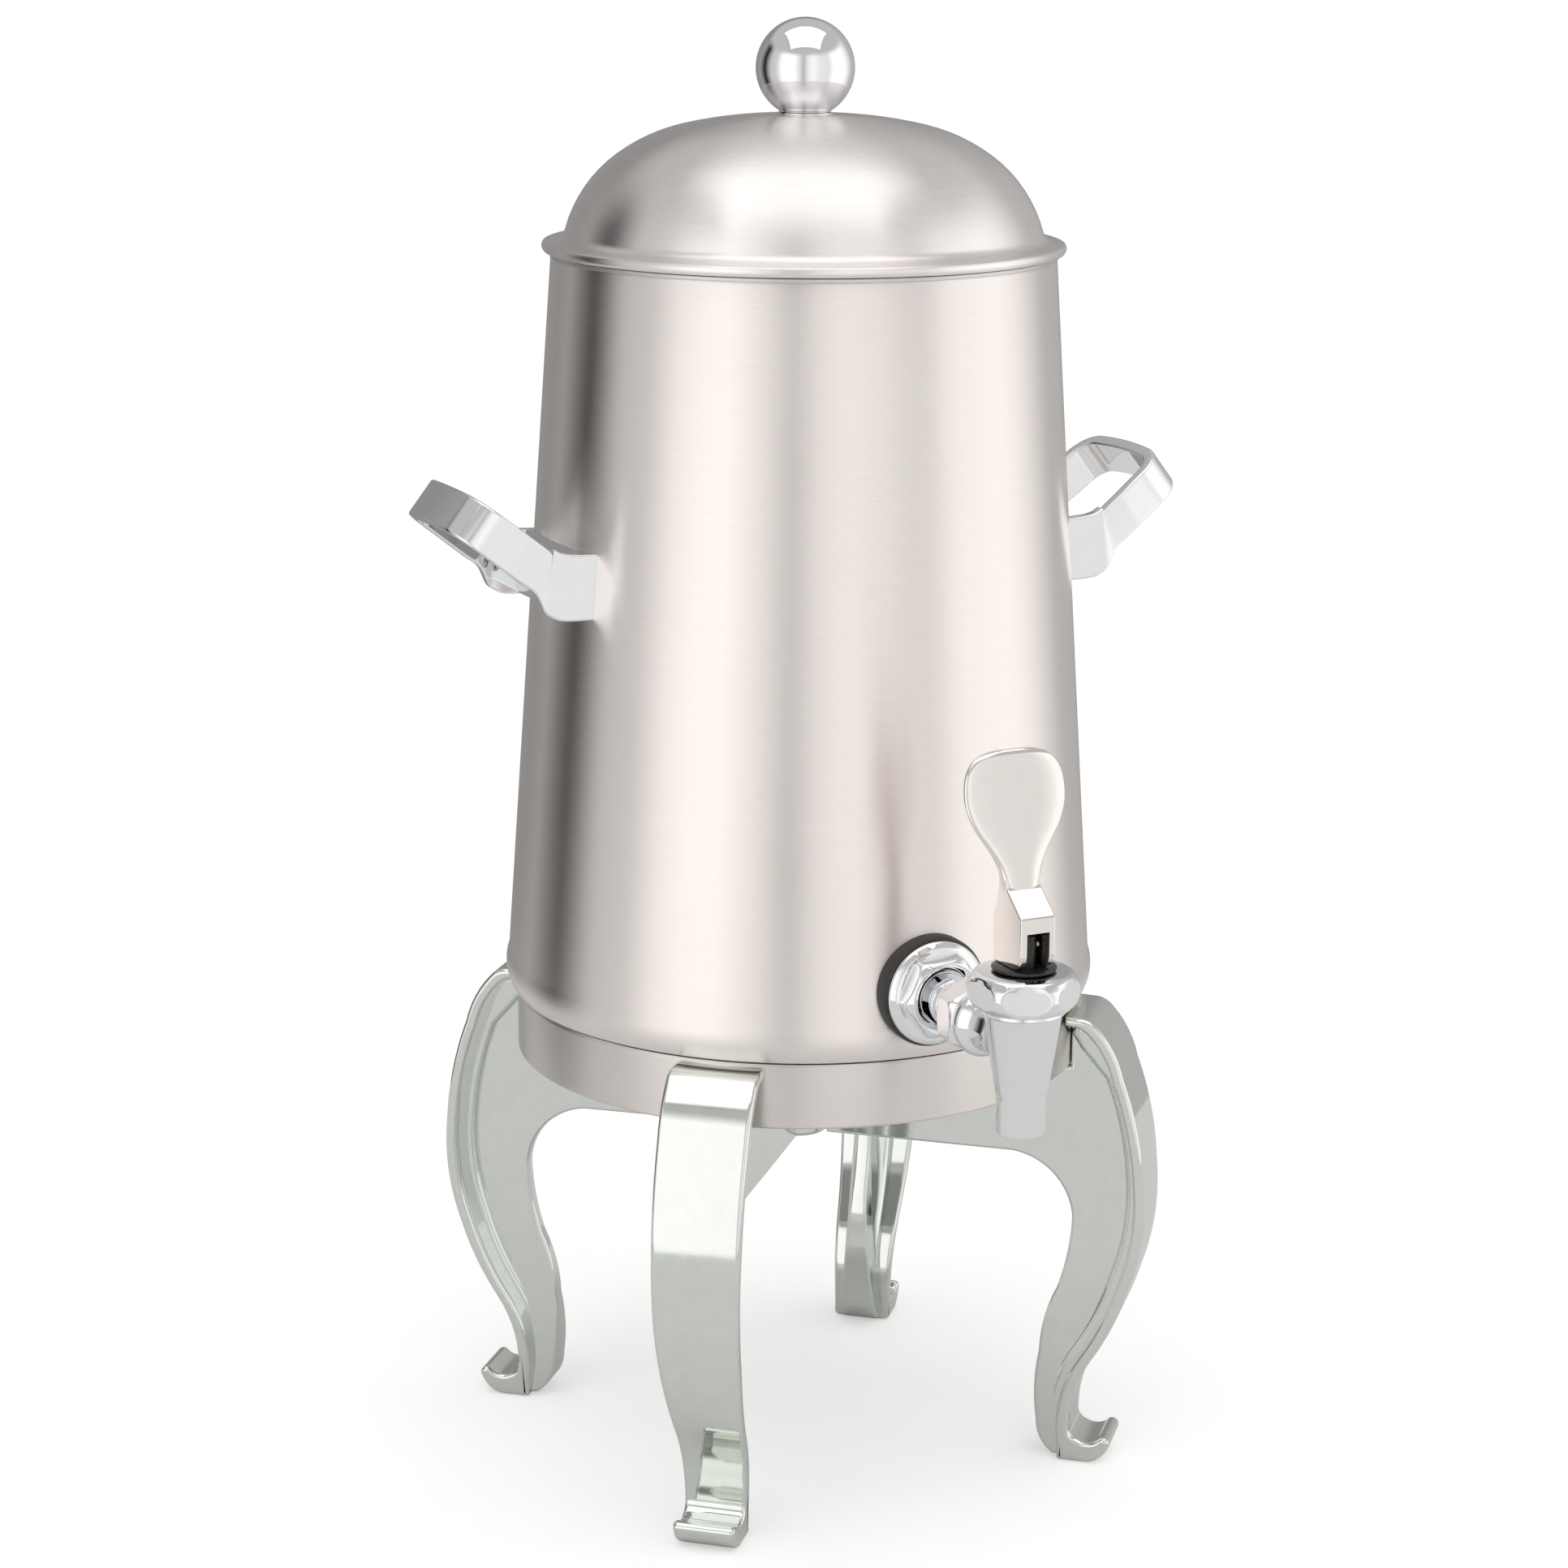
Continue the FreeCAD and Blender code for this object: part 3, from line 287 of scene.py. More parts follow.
def outline(corners, closed=True):
    """Corners (x, y, bend to the next, setback of the rounding) as one line of close points."""
    line = []
    setbacks = []
    count = len(corners)
    for i, corner in enumerate(corners):
        if i == count - 1 and not closed:
            run = [corner[:2]]
        else:
            run = bent(corner, corners[(i + 1) % count], corner[2] if len(corner) > 2 else 0)
        line += run
        setbacks += [corner[3] if len(corner) > 3 else 0] + [0] * (len(run) - 1)
    if closed:
        start = setbacks.index(0) if 0 in setbacks else 0
        line = line[start:] + line[:start] + [line[start]]
        setbacks = setbacks[start:] + setbacks[:start] + [0]
    sums = [0.0]
    for a, b in zip(line, line[1:]):
        sums.append(sums[-1] + math.hypot(b[0] - a[0], b[1] - a[1]))
    spans = [(sums[i] - s, sums[i] + s, line[i]) for i, s in enumerate(setbacks) if s]
    made = []
    for i, point in enumerate(line):
        hit = [span for span in spans if span[0] <= sums[i] <= span[1]]
        if not hit:
            made.append(point)
        elif point == hit[0][2]:
            low, high, corner = hit[0]
            a = at_length(line, sums, max(low, 0))
            b = at_length(line, sums, min(high, sums[-1]))
            for k in range(7):
                t = k / 6
                made.append(tuple(
                    (1 - t) ** 2 * a[j] + 2 * t * (1 - t) * corner[j] + t * t * b[j] for j in (0, 1)))
    clean = [made[0]]
    for point in made[1:]:
        if math.hypot(point[0] - clean[-1][0], point[1] - clean[-1][1]) > 0.02:
            clean.append(point)
    if closed and math.hypot(clean[0][0] - clean[-1][0], clean[0][1] - clean[-1][1]) < 0.02:
        clean.pop()
    return clean


def inset(line, amount):
    """A closed anticlockwise outline moved inwards."""
    made = []
    count = len(line)
    for i in range(count):
        a, b, c = Vector(line[i - 1]), Vector(line[i]), Vector(line[(i + 1) % count])
        first = (b - a).normalized()
        second = (c - b).normalized()
        normal = Vector((-first.y - second.y, first.x + second.x))
        if normal.length < 1e-6:
            normal = Vector((-first.y, first.x))
        normal.normalize()
        cosine = max(0.5, normal.dot(Vector((-first.y, first.x))))
        spot = b + normal * (amount / cosine)
        made.append((spot.x, spot.y))
    return made


def smooth_between(stops, where):
    """The value at where, on a smooth line through (place, value...) stops."""
    if where <= stops[0][0]:
        return stops[0][1:]
    for i in range(len(stops) - 1):
        if where <= stops[i + 1][0]:
            before, a = stops[max(i - 1, 0)], stops[i]
            b, after = stops[i + 1], stops[min(i + 2, len(stops) - 1)]
            run = b[0] - a[0]
            t = (where - a[0]) / run
            made = []
            for k in range(1, len(a)):
                slope_a = (b[k] - before[k]) / max(b[0] - before[0], 1e-9) * run
                slope_b = (after[k] - a[k]) / max(after[0] - a[0], 1e-9) * run
                made.append(
                    a[k] * (2 * t**3 - 3 * t**2 + 1) + slope_a * (t**3 - 2 * t**2 + t)
                    + b[k] * (3 * t**2 - 2 * t**3) + slope_b * (t**3 - t**2))
            return tuple(made)
    return stops[-1][1:]


# ---------------------------------------------------------------- meshes

def loft(bm, rings, caps=True, closed=False):
    """Skins rings of points, each a closed loop with the same count."""
    rows = [[bm.verts.new(point) for point in ring] for ring in rings]
    count = len(rows[0])
    pairs = list(zip(rows, rows[1:]))
    if closed:
        pairs.append((rows[-1], rows[0]))
    for a, b in pairs:
        for i in range(count):
            j = (i + 1) % count
            bm.faces.new((a[i], a[j], b[j], b[i]))
    if caps and not closed:
        bm.faces.new(list(reversed(rows[0])))
        bm.faces.new(rows[-1])


def turned(bm, line, place, sides=144, shape=None):
    """A closed profile (radius, height) turned about the local Z axis; shape may trim the radius."""
    rings = []
    for i in range(sides):
        angle = 2 * math.pi * i / sides
        ring = []
        for radius, height in line:
            reach = shape(radius, height, angle) if shape else radius
            ring.append(place @ Vector((reach * math.cos(angle), reach * math.sin(angle), height)))
        rings.append(ring)
    loft(bm, rings, caps=False, closed=True)


def slab(bm, line, half_width, edge, place):
    """A side outline (x, z) made wide along local Y, with rounded edges. half_width follows the height."""
    rings = []
    steps = 4
    for side in (-1, 1):
        order = range(steps + 1) if side < 0 else range(steps, -1, -1)
        for k in order:
            bow = math.pi / 2 * k / steps
            around = inset(line, edge * (1 - math.sin(bow)))
            drop = edge * (1 - math.cos(bow))
            rings.append([
                place @ Vector((x, side * (half_width(z) - drop), z)) for x, z in around])
    loft(bm, rings)


def loose_piece(name, bm):
    """A cleaned mesh object in metres, on no body yet."""
    bmesh.ops.scale(bm, vec=(MM, MM, MM), verts=bm.verts)
    bmesh.ops.remove_doubles(bm, verts=bm.verts, dist=0.000002)
    bmesh.ops.dissolve_degenerate(bm, edges=bm.edges, dist=0.000002)
    bmesh.ops.recalc_face_normals(bm, faces=bm.faces)
    mesh = bpy.data.meshes.new(name)
    bm.to_mesh(mesh)
    bm.free()
    piece = bpy.data.objects.new(name, mesh)
    bpy.context.scene.collection.objects.link(piece)
    return piece


def put_down(name, body, slot, bm, node, sharp=38.0, bevel=0.0, flat_sides=False):
    """Finishes a mesh as a named piece on its body, in place of its CAD node."""
    piece = loose_piece(name, bm)
    mesh = piece.data
    mesh.polygons.foreach_set("use_smooth", [True] * len(mesh.polygons))
    mesh.set_sharp_from_angle(angle=math.radians(sharp))
    mesh.materials.append(FINISHES[slot])
    if bevel:
        edges = piece.modifiers.new("eased edges", "BEVEL")
        edges.width = bevel * MM
        edges.segments = 3
        edges.limit_method = "ANGLE"
        edges.angle_limit = math.radians(32)
        edges.harden_normals = True
    if flat_sides:
        shading = piece.modifiers.new("flat sides stay flat", "WEIGHTED_NORMAL")
        shading.keep_sharp = True
        shading.weight = 90
    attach(piece, body)
    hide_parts(node)
    return piece


def carve(piece, cutter):
    """Cuts one mesh object out of another, and removes the cutter."""
    cut = piece.modifiers.new("cut", "BOOLEAN")
    cut.object = cutter
    cut.solver = "EXACT"
    bpy.context.view_layer.update()
    graph = bpy.context.evaluated_depsgraph_get()
    made = bpy.data.meshes.new_from_object(piece.evaluated_get(graph))
    piece.modifiers.clear()
    piece.data = made
    bpy.data.objects.remove(cutter)


def upright(x=0.0, y=0.0, z=0.0, degrees=0.0):
    return Matrix.Translation((x, y, z)) @ Matrix.Rotation(math.radians(degrees), 4, "Z")


def along_port(y, degrees=0.0):
    """A place on the faucet's level axis, facing away from the urn."""
    turn = Matrix.Rotation(math.radians(90), 4, "X")
    return Matrix.Translation((0, y, PORT_LEVEL)) @ turn @ Matrix.Rotation(math.radians(degrees), 4, "Z")


def hexagon_trim(flats, low, high, soft=0.25, first=0.0):
    """Trims a turned part to six flats between two heights."""
    half = flats / 2

    def trim(radius, height, angle):
        if radius < half * 0.8 or not low <= height <= high:
            return radius
        swing = (angle - math.radians(first)) % (math.pi / 3) - math.pi / 6
        flat = half / math.cos(swing)
        if radius <= flat - soft * 4:
            return radius
        blend = math.exp((radius - flat) / soft)
        return radius - soft * math.log(1 + blend)

    return trim


# ---------------------------------------------------------------- urn body

def make_shell():
    bm = bmesh.new()
    line = outline([
        (101.5, 177.5), (103.4, 177.45), (106.6, 178.6, 14.0), (108.0, 192.0), (90.6, 446.2), (90.2, 447.0),
        (88.6, 447.0), (88.6, 445.8), (106.4, 191.0), (101.5, 179.2),
    ])
    turned(bm, line, upright(), 192)
    put_down("outer_shell_skin", "urn", "brushed_shell", bm, "outer_shell")

    bm = bmesh.new()
    line = outline([
        (104.6, 177.3), (103.5, 177.3), (103.5, 155.2), (101.0, 155.2), (101.0, 154.2),
        (104.2, 153.6, 0, 0.4),
        (105.0, 154.4, 0, 0.4), (105.0, 176.4, 0, 0.3),
    ])
    turned(bm, line, upright(), 192)
    put_down("stand_band", "urn", "brushed_band", bm, "base_ring")

    bm = bmesh.new()
    line = outline([(83.4, 447.0), (90.9, 447.0, 0, 0.4), (90.9, 448.4, 0, 0.4), (83.4, 448.4)])
    turned(bm, line, upright(), 144)
    put_down("mouth_bead", "urn", "inner_steel", bm, "mouth_rim")


def make_lid():
    bm = bmesh.new()
    line = outline([
        (83.0, 448.8), (92.8, 448.8, 0, 0.7), (93.9, 450.4, 0, 1.0), (93.4, 452.3, 0, 0.8),
        (88.6, 453.2, -4.0), (85.4, 456.2, 49.0), (70.3, 480.0, 63.0), (44.2, 493.0, 157.0),
        (9.8, 497.0), (3.2, 497.0), (3.2, 496.0), (9.3, 496.0, -156.0), (44.0, 492.0, -62.0),
        (70.0, 479.0, -48.0), (84.2, 456.0), (83.0, 451.0),
    ])
    turned(bm, line, upright(), 192)
    put_down("lid_shell", "lid", "brushed_lid", bm, "lid_dome")

    ball = 17.6
    middle = 513.2
    neck = 9.3
    waist = middle - math.sqrt(ball * ball - neck * neck)
    line = [(0.0, 497.7), (neck - 0.5, 497.7), (neck - 0.1, 497.9)]
    first = math.atan2(waist - middle, neck)
    for i in range(49):
        angle = first + (math.pi / 2 - first) * i / 48
        line.append((ball * math.cos(angle), middle + ball * math.sin(angle)))
    line[-1] = (0.0, middle + ball)
    bm = bmesh.new()
    turned(bm, line, upright(), 144)
    put_down("knob_ball", "lid", "knob_chrome", bm, "lid_knob")

    bm = bmesh.new()
    line = outline([(3.2, 496.9), (9.9, 496.9), (10.1, 497.3, 0, 0.15), (9.7, 497.7), (3.2, 497.7)])
    turned(bm, line, upright(), 96)
    put_down("knob_collar", "lid", "knob_chrome", bm, "knob_washer")


# ---------------------------------------------------------------- legs

def leg_half(z):
    """Half the width of a leg's strip at a height."""
    stops = [
        (0.0, 11.4), (12.0, 11.5), (36.0, 12.6), (72.0, 15.0), (105.0, 16.0), (150.0, 16.5), (176.0, 16.4)]
    return smooth_between(stops, z)[0]


def make_leg(name, node, angle):
    """One casting: an S-curved strip, a rib down its back, and a web in to the hub, thicker at the foot."""
    place = upright(degrees=angle)
    bm = bmesh.new()
    strip = outline([
        (105.0, 0.2, 0, 1.0), (116.6, 0.2, 10.0), (124.4, 6.6, 2.4), (120.6, 9.6, -7.0), (112.6, 8.8, -5.0),
        (109.2, 13.5, -49.0), (117.0, 41.0, 120.0), (131.0, 72.0, 97.0), (135.6, 114.0, 135.0),
        (127.0, 154.0, 40.0), (117.0, 172.6, 9.0), (110.0, 175.7), (105.0, 175.9), (105.0, 172.6),
        (109.0, 172.0, -9.0), (113.4, 169.6, -36.0), (123.0, 152.0, -131.0), (131.4, 113.6, -93.0),
        (126.8, 73.2, -116.0), (113.2, 42.8, 53.0), (104.2, 14.0),
    ])
    slab(bm, strip, leg_half, 1.7, place)
    rib = outline([
        (104.5, 2.0), (110.0, 4.0), (109.0, 14.0, -53.0), (116.0, 42.0, 116.0), (130.0, 73.0, 93.0),
        (134.0, 114.0, 131.0), (125.5, 153.0, 36.0), (116.0, 170.5), (108.0, 171.6), (105.3, 167.0),
        (109.0, 161.0), (118.6, 150.0, -125.0), (127.0, 113.4, -88.0), (122.4, 75.0, -111.0),
        (108.6, 44.6, 55.0), (99.8, 16.0), (101.5, 6.0),
    ])
    slab(bm, rib, lambda z: 6.8, 3.0, place)
    web = outline([
        (12.1, 118.2), (84.0, 118.0, -26.0), (107.0, 94.0, -100.0), (102.0, 66.0, 60.0), (95.8, 40.0, 75.0),
        (95.8, 13.0, 14.0), (103.0, 1.0), (108.0, 1.5), (106.2, 14.0), (114.6, 42.0), (129.0, 73.0),
        (133.4, 114.0), (124.8, 153.0), (114.6, 170.2), (105.1, 171.0), (105.1, 153.4), (12.1, 153.4),
    ])
    slab(bm, web, lambda z: 3.1 + 5.4 * max(0.0, 1 - z / 62.0) ** 1.6, 1.3, place)
    put_down(name, "urn", "leg_plate", bm, node, sharp=50.0, flat_sides=True)


def make_stand():
    for i, corner in enumerate(("back_right", "back_left", "front_left", "front_right")):
        make_leg("leg_casting_" + corner, "leg_" + corner, 45.0 + 90.0 * i + LEG_TURN)
    bm = bmesh.new()
    line = outline([
        (4.4, 153.3), (4.4, 124.0), (8.6, 124.0), (8.6, 118.4, 0, 0.4), (10.6, 118.2, 0, 0.6),
        (12.0, 119.6, 0, 0.6), (12.0, 153.3),
    ])
    turned(bm, line, upright(), 96)
    put_down("stand_boss", "urn", "leg_plate", bm, "stand_hub")


# ---------------------------------------------------------------- handles

def loop_point(u, v, w):
    """u out along the rising loop, v across it, w above its plane."""
    out, rise = math.cos(HANDLE_RISE), math.sin(HANDLE_RISE)
    return Vector((HANDLE_ROOT + u * out - w * rise, v, HANDLE_LEVEL + u * rise + w * out))


def strap_edges():
    """Where the strap's edges run in the side view: (u, lower x, lower z, upper x, upper z)."""
    edges = [
        (-8.0, 92.0, 327.0, 91.0, 350.0), (0.0, 100.2, 327.0, 98.4, 350.4), (4.0, 104.2, 327.2, 101.6, 350.7),
        (7.0, 107.0, 327.7, 103.9, 351.0), (10.5, 109.6, 329.0, 106.3, 351.7),
        (14.0, 111.9, 331.0, 108.6, 353.0)]
    for u, back in ((18.5, 1.6), (24.0, 0.8), (30.0, 0.2), (36.0, 0.0), (60.0, 0.0)):
        low, high = loop_point(u - back, 0, -STRAP_HALF), loop_point(u + back, 0, STRAP_HALF)
        edges.append((u, low.x, low.z, high.x, high.z))
    return edges


def strap_ring(low, high, v, along):
    """The strap's rounded cross section at one place on its path, from its lower to its upper edge."""
    half = 2.35
    ease = 0.9
    tall = (high - low).length
    rise = (high - low) / tall
    out = Vector((rise.z, 0, -rise.x))
    ring = []
    for k, (side, top) in enumerate(((1, 0), (1, 1), (-1, 1), (-1, 0))):
        for step in range(5):
            turn = math.pi / 2 * (k - 1) + math.pi / 2 * step / 4
            offset = side * (half - ease) + ease * math.cos(turn)
            height = (tall - ease if top else ease) + ease * math.sin(turn)
            across = out * (along.y * offset) + Vector((0, -along.x * offset, 0))
            ring.append(low + rise * height + Vector((0, v, 0)) + across)
    return ring


def make_handle(name, node, side):
    """A strap that loops out from the mount, across and back, and the saddle that joins its ends."""
    place = upright(degrees=0 if side > 0 else 180)
    path = outline([
        (-8.0, -27.6), (13.0, -27.8), (30.0, -27.3), (41.5, -26.4, 10.0), (51.9, -17.5, 155.0),
        (51.9, 17.5, 10.0), (41.5, 26.4), (30.0, 27.3), (13.0, 27.8), (-8.0, 27.6)], closed=False)
    fine = [path[0]]
    for a, b in zip(path, path[1:]):
        steps = max(1, int(math.hypot(b[0] - a[0], b[1] - a[1]) / 1.2))
        for k in range(1, steps + 1):
            fine.append((a[0] + (b[0] - a[0]) * k / steps, a[1] + (b[1] - a[1]) * k / steps))
    edges = strap_edges()
    rings = []
    for i, (u, v) in enumerate(fine):
        a, b = fine[max(i - 1, 0)], fine[min(i + 1, len(fine) - 1)]
        along = Vector((b[0] - a[0], b[1] - a[1])).normalized()
        low_x, low_z, high_x, high_z = smooth_between(edges, u)
        ring = strap_ring(Vector((low_x, 0, low_z)), Vector((high_x, 0, high_z)), v, along)
        rings.append([place @ point for point in ring])
    bm = bmesh.new()
    loft(bm, rings)
    saddle = outline([
        (92.5, 327.3), (100.6, 327.3, 0, 1.0), (101.8, 328.6, 0, 0.5), (101.8, 340.2), (105.0, 340.6, 0, 0.8),
        (100.8, 347.0), (97.8, 350.2, 0, 1.0), (91.5, 350.0)])
    slab(bm, saddle, lambda z: 25.8, 0.1, place)
    put_down(name, "urn", "handle_chrome", bm, node, sharp=50.0, flat_sides=True)


# ---------------------------------------------------------------- faucet

def make_port_parts():
    bm = bmesh.new()
    line = outline([(8.1, -7.5), (19.9, -7.5), (19.8, -1.6), (19.2, 0.0, 0, 0.7), (8.1, 0.0)])
    turned(bm, line, along_port(-111.45), 120)
    put_down("port_grommet", "urn", "black_rubber", bm, "shank_gasket")

    bm = bmesh.new()
    line = outline([
        (8.05, 0.0), (18.6, 0.0, 0, 0.3), (18.6, 1.3, 0, 0.7), (16.6, 2.9, 0, 0.8), (15.4, 3.3),
        (15.4, 6.8, 0, 1.4), (12.7, 9.0, 0, 0.5), (11.5, 8.8, 0, 0.4), (9.8, 5.8, 0, 0.4), (8.05, 5.6)])
    turned(bm, line, along_port(-111.5), 240, hexagon_trim(27.0, 2.95, 9.5, 0.12, 5.0))
    put_down("wall_nut", "urn", "faucet_chrome", bm, "flange_nut", sharp=60.0)

    bm = bmesh.new()
    line = outline([
        (8.02, 0.0), (9.3, 0.0, 0, 0.2), (9.3, 16.2), (12.0, 17.6, 0, 0.4), (13.6, 18.8, 0, 0.5),
        (13.6, 26.2, 0, 0.8), (11.6, 28.4, 0, 0.4), (10.2, 28.5), (10.2, 31.4), (5.2, 31.4), (5.2, 28.0),
        (8.02, 28.0)])
    turned(bm, line, along_port(-117.55), 240, hexagon_trim(24.0, 16.8, 28.45, 0.12, 30.0))
    put_down("union_nut", "urn", "faucet_chrome", bm, "faucet_coupling", sharp=60.0)

    bm = bmesh.new()
    line = [(8.0, 0.0), (8.0, 0.4)]
    for i in range(30):
        base = 1.0 + i * 1.9
        line += [(8.0, base), (7.3, base + 0.55), (7.3, base + 0.85), (8.0, base + 1.4)]
    line += [(8.0, 58.4), (7.6, 59.0), (5.2, 59.0), (5.2, 0.0)]
    turned(bm, line, along_port(-86.0), 64)
    put_down("threaded_tube", "urn", "faucet_chrome", bm, "shank")


def make_valve():
    place = upright(0, -VALVE_REACH)
    bm = bmesh.new()
    line = outline([
        (6.6, 172.4), (7.2, 172.0, 0, 0.3), (8.4, 172.2, 0, 0.4), (8.4, 184.6, 0, 0.8), (8.9, 186.4, 0, 0.8),
        (13.1, 213.8, 0, 0.3), (14.2, 214.6), (14.2, 221.9), (12.0, 221.9), (12.0, 216.0), (7.3, 188.2),
        (6.6, 186.0),
    ])
    turned(bm, line, place, 144)
    collar = outline([
        (10.3, 0.0), (11.2, 0.0), (12.2, 1.2, 0, 0.9), (12.2, 3.2, 0, 1.4), (10.4, 5.4, 0, 1.2),
        (9.0, 6.6), (9.0, 17.0), (5.4, 17.0), (5.4, 3.4), (10.3, 3.4)])
    turned(bm, collar, along_port(-146.2), 96)
    put_down("valve_cone", "urn", "faucet_chrome", bm, "faucet_body", sharp=50.0)

    bm = bmesh.new()
    line = outline([
        (14.3, 216.2), (15.6, 215.9, 0, 0.5), (18.4, 218.6, 0, 1.6), (19.0, 221.6, 0, 1.0),
        (18.8, 224.6, 0, 1.4), (16.6, 228.2, 0, 1.2), (14.6, 228.6), (4.1, 228.6), (4.1, 224.7),
        (14.3, 224.7)])
    turned(bm, line, place, 360, hexagon_trim(33.8, 215.0, 229.0, 0.04, 34.6))
    put_down("bonnet_cap", "urn", "faucet_chrome", bm, "bonnet", sharp=60.0)

    bm = bmesh.new()
    line = outline([
        (4.1, 228.65), (8.4, 228.65), (8.4, 229.1), (10.6, 229.1, 0, 0.2), (11.0, 229.5, 0, 0.2),
        (11.0, 229.9, 0, 0.2), (10.5, 230.2), (4.1, 230.2)])
    turned(bm, line, place, 96)
    put_down("bonnet_washer", "urn", "black_plastic", bm, "stem_washer")

    bm = bmesh.new()
    line = outline([
        (0.0, 196.0), (4.0, 196.0), (4.0, 240.6, 0, 0.3), (2.8, 241.8, 0, 0.3), (0.0, 241.8)])
    turned(bm, line, place, 64)
    put_down("valve_rod", "valve_stem", "black_plastic", bm, "stem")

    # The return spring: six turns of wire from the seat cup to the bonnet.
    bm = bmesh.new()
    low, high, coil, wire = 196.65, 223.85, 6.4, 0.55
    steps = 6 * 32
    rings = []
    for i in range(steps + 1):
        angle = 2 * math.pi * i / 32
        out = Vector((math.cos(angle), math.sin(angle), 0))
        middle = out * coil + UP * (low + (high - low) * i / steps)
        rings.append([
            place @ (middle + (out * math.cos(k * math.pi / 4) + UP * math.sin(k * math.pi / 4)) * wire)
            for k in range(8)])
    loft(bm, rings)
    spring = put_down("return_spring", "urn", "fastener_steel", bm, "valve_spring")
    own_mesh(spring)

    bm = bmesh.new()
    level = Matrix.Translation((0, -VALVE_REACH, PIN_LEVEL)) @ Matrix.Rotation(math.radians(90), 4, "Y")
    line = outline([(0.0, -5.6), (1.5, -5.6, 0, 0.2), (1.5, 5.6, 0, 0.2), (0.0, 5.6)], closed=False)
    turned(bm, line, level, 32)
    put_down("lever_pin", "valve_stem", "fastener_steel", bm, "hinge_pin")


def make_lever():
    """A slotted fork on the pin, with a thin rounded paddle that grows out of it and leans back."""
    place = Matrix.Translation((0, -VALVE_REACH, PIN_LEVEL)) @ Matrix.Rotation(math.radians(90), 4, "Z")
    side = outline([
        (9.6, -6.7, 0, 0.9), (10.2, 8.4, 0, 1.0), (8.0, 14.4, 0, 2.0), (6.9, 19.6), (6.9, 23.0), (2.0, 23.0),
        (1.0, 19.4, 0, 1.0), (-9.3, 11.4, 0, 0.9), (-9.3, -1.0, 5.8), (-3.6, -6.7)])
    bm = bmesh.new()
    slab(bm, side, lambda z: 6.5, 0.6, place)
    fork = loose_piece("lever_fork", bm)

    bm = bmesh.new()
    slot = outline([(-14, -10), (12, -10), (12, 6.4), (-14, 6.4)])
    loft(bm, [[place @ Vector((x, y, z)) for x, z in slot] for y in (-4.2, 4.2)])
    carve(fork, loose_piece("slot_cutter", bm))

    # The paddle's cross sections: (height, how far back, half width, half thickness).
    stations = [
        (17.0, 3.6, 6.4, 3.6), (22.0, 4.1, 7.0, 2.9), (27.0, 4.8, 8.4, 2.6), (33.0, 5.8, 11.8, 2.4),
        (39.0, 6.9, 15.8, 2.3), (45.0, 8.1, 18.2, 2.2), (50.4, 9.2, 18.75, 2.1), (56.2, 10.3, 17.9, 2.0),
        (60.2, 11.1, 15.6, 1.9), (62.4, 11.5, 12.6, 1.8), (63.6, 11.8, 8.6, 1.4), (64.2, 11.9, 4.4, 0.7)]
    rings = []
    height = stations[0][0]
    while height <= stations[-1][0]:
        lean, wide, thick = smooth_between(stations, height)
        ring = []
        for k in range(48):
            angle = 2 * math.pi * k / 48
            c, s = math.cos(angle), math.sin(angle)
            across = math.copysign(abs(c) ** 0.55, c) * wide
            depth = math.copysign(abs(s) ** 0.75, s) * thick
            ring.append(place @ Vector((lean + depth, across, height)))
        rings.append(ring)
        height += 0.7 if height < 60 else 0.3
    bm = bmesh.new()
    bm.from_mesh(fork.data)
    bmesh.ops.scale(bm, vec=(1 / MM, 1 / MM, 1 / MM), verts=bm.verts)
    loft(bm, rings)
    bpy.data.objects.remove(fork)
    put_down("lever_paddle", "lever", "lever_nickel", bm, "lever", sharp=35.0, bevel=0.35, flat_sides=True)


# ---------------------------------------------------------------- light, floor and camera

def make_stage():
    """A round pale floor. It looks white, and the urn mirrors it a shade darker."""
    bm = bmesh.new()
    angles = [k * math.pi / 48 for k in range(96)]
    rings = [
        [Vector((reach * math.cos(angle), reach * math.sin(angle), 0)) for angle in angles]
        for reach in (0.02, 0.2, 0.4, 0.6, 0.7)]
    loft(bm, rings, caps=False)
    bm.faces.new([v for v in bm.verts if v.co.length < 0.03])
    bmesh.ops.recalc_face_normals(bm, faces=bm.faces)
    mesh = bpy.data.meshes.new("studio floor")
    bm.to_mesh(mesh)
    bm.free()
    floor = bpy.data.objects.new("studio_floor", mesh)
    floor.location.z = -0.0002
    bpy.context.scene.collection.objects.link(floor)
    material, wire = start_material("pale floor")
    grain = wire.noise(object_place(wire), 40.0, 3.0)
    colour = grain.tint((0.80, 0.80, 0.80), (0.84, 0.84, 0.84))
    bump = wire.node("ShaderNodeBump", {"Strength": 0.02, "Distance": 0.0001, "Height": grain})
    seen = wire.node("ShaderNodeLightPath", out=0) * FLOOR_LIFT
    end_material(
        material, wire, colour, 0.8 + grain * 0.1, bump, Specular_IOR_Level=0.1,
        Emission_Color=wire.vector(seen, seen, seen), Emission_Strength=1.0)
    mesh.materials.append(material)


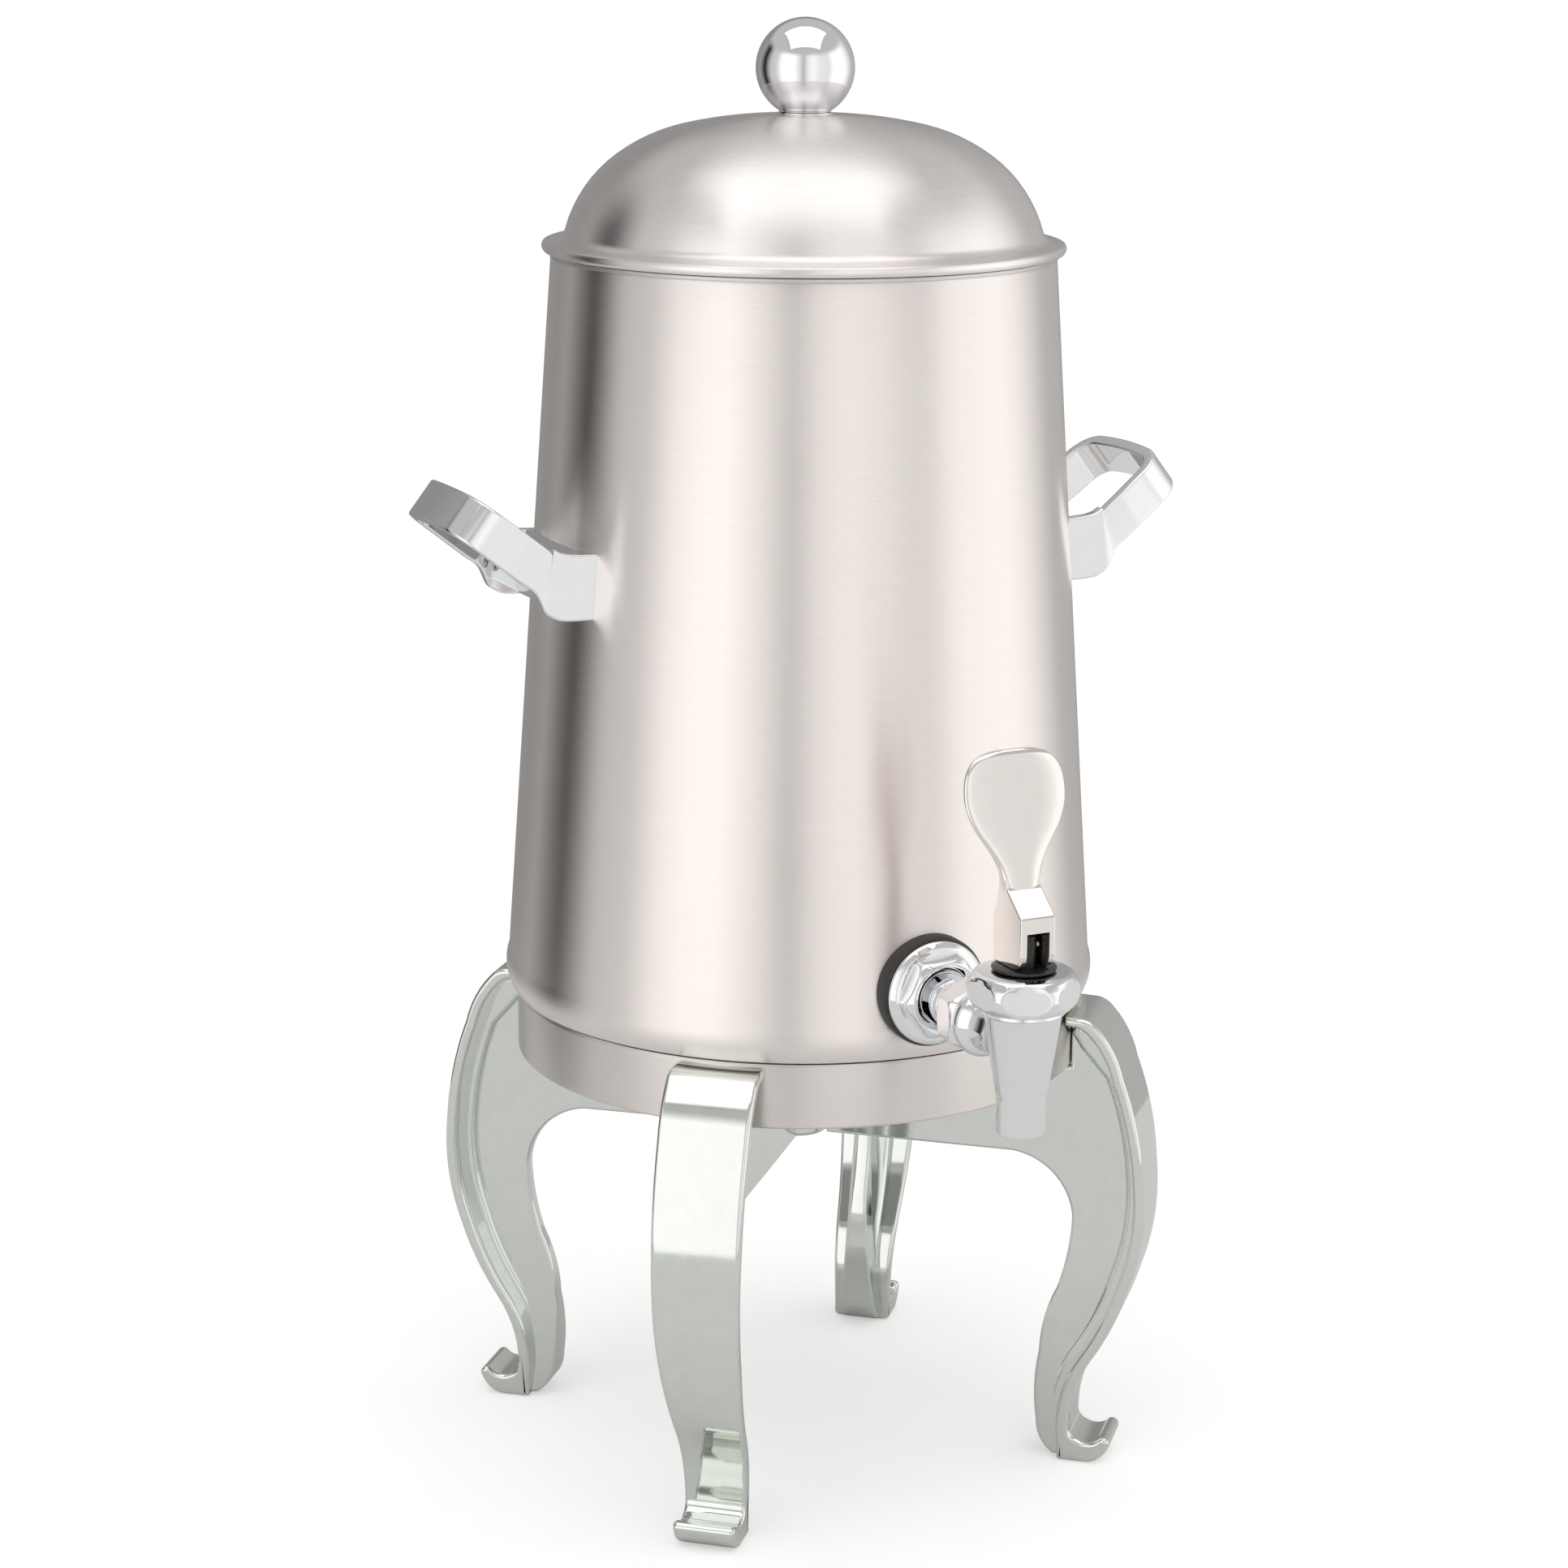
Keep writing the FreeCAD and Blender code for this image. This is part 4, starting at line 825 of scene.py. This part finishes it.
def make_light():
    """The studio as one sky: soft cards round the urn, grey above them, and a box overhead."""
    world = bpy.data.worlds.new("studio")
    bpy.context.scene.world = world
    world.use_nodes = True
    world.node_tree.nodes.clear()
    wire = Wire(world.node_tree)
    x, y, z = wire.node("ShaderNodeTexCoord", out=0).parts()
    c, s = math.cos(CAMERA_TURN), math.sin(CAMERA_TURN)
    right = x * c + y * s
    near = x * s - y * c
    bearing = wire.maths("ARCTAN2", right, near) / (2 * math.pi) + 0.5
    # Each card: its bearing in degrees to the right of the front, and its brightness.
    cards = [
        (-180, 0.22), (-142, 0.21), (-129, 0.26), (-117, 0.10), (-108, 0.00), (-101, 0.12), (-88, 0.44),
        (-72, 0.50), (-56, 0.86), (-45, 0.96), (-32, 0.94), (-18, 0.72), (-4, 0.39), (8, 0.70), (20, 0.79),
        (34, 0.67), (56, 0.62), (70, 0.86), (98, 0.88), (112, 0.74), (124, 0.55), (135, 0.38), (155, 0.34),
        (180, 0.22)]
    stops = [(degrees / 360 + 0.5, shade) for degrees, shade in cards]
    around = wire.node("ShaderNodeValToRGB", {0: bearing}, stops=stops)
    height = wire.maths("ARCTAN2", z, near) / math.pi
    within = height.fade(0.255, 0.285) * (1 - height.fade(0.60, 0.64))
    box = within * (1 - wire.maths("ABSOLUTE", right).fade(0.50, 0.58))
    above = z.fade(0.42, 0.60)
    light = around * CARD_LEVEL * (1 - above) + above * SKY_LEVEL
    box_frame = box * (1 - box) * FRAME_DEPTH
    light = (light * (1 - box) + box * BOX_LEVEL) * (1 - box_frame)
    seen = wire.node("ShaderNodeLightPath", out=0)
    shade = light * (1 - seen) + seen * BACKDROP_LEVEL
    colour = wire.vector(shade, shade * 0.995, shade * 0.985)
    wire.node("ShaderNodeBackground", {0: colour, 1: 1.0}).end_in("ShaderNodeOutputWorld")


def make_camera():
    """A long lens a little above the lid, turned to the faucet's left."""
    pitch, yaw, roll = math.radians(13.947), math.radians(-0.251), math.radians(0.389)
    ahead = Vector((math.sin(yaw) * math.cos(pitch), math.cos(yaw) * math.cos(pitch), -math.sin(pitch)))
    right = ahead.cross(UP).normalized()
    above = right.cross(ahead)
    side = right * math.cos(roll) + above * math.sin(roll)
    top = above * math.cos(roll) - right * math.sin(roll)
    place = Matrix((side, top, -ahead)).transposed().to_4x4()
    place.translation = Vector((0, -1.32795, 0.58193))
    data = bpy.data.cameras.new("camera")
    data.sensor_width = 36.0
    data.lens = 84.78
    data.clip_start = 0.05
    data.clip_end = 50.0
    camera = bpy.data.objects.new("camera", data)
    camera.matrix_world = Matrix.Rotation(CAMERA_TURN, 4, "Z") @ place
    bpy.context.scene.collection.objects.link(camera)
    bpy.context.scene.camera = camera


def finish_cad_nodes():
    """Every CAD node gets its finish, shown or not."""
    for row in frame["record"]["subparts"]:
        mesh = frame["nodes"][row["node"]].data
        mesh.materials.clear()
        mesh.materials.append(FINISHES[row["material_slot"]])


make_camera()
make_light()
make_stage()
finish_cad_nodes()
make_shell()
make_lid()
make_stand()
make_handle("handle_loop_right", "handle_right", 1)
make_handle("handle_loop_left", "handle_left", -1)
make_port_parts()
make_valve()
make_lever()
bpy.context.scene.view_settings.view_transform = "Standard"
bpy.context.scene.view_settings.look = "None"
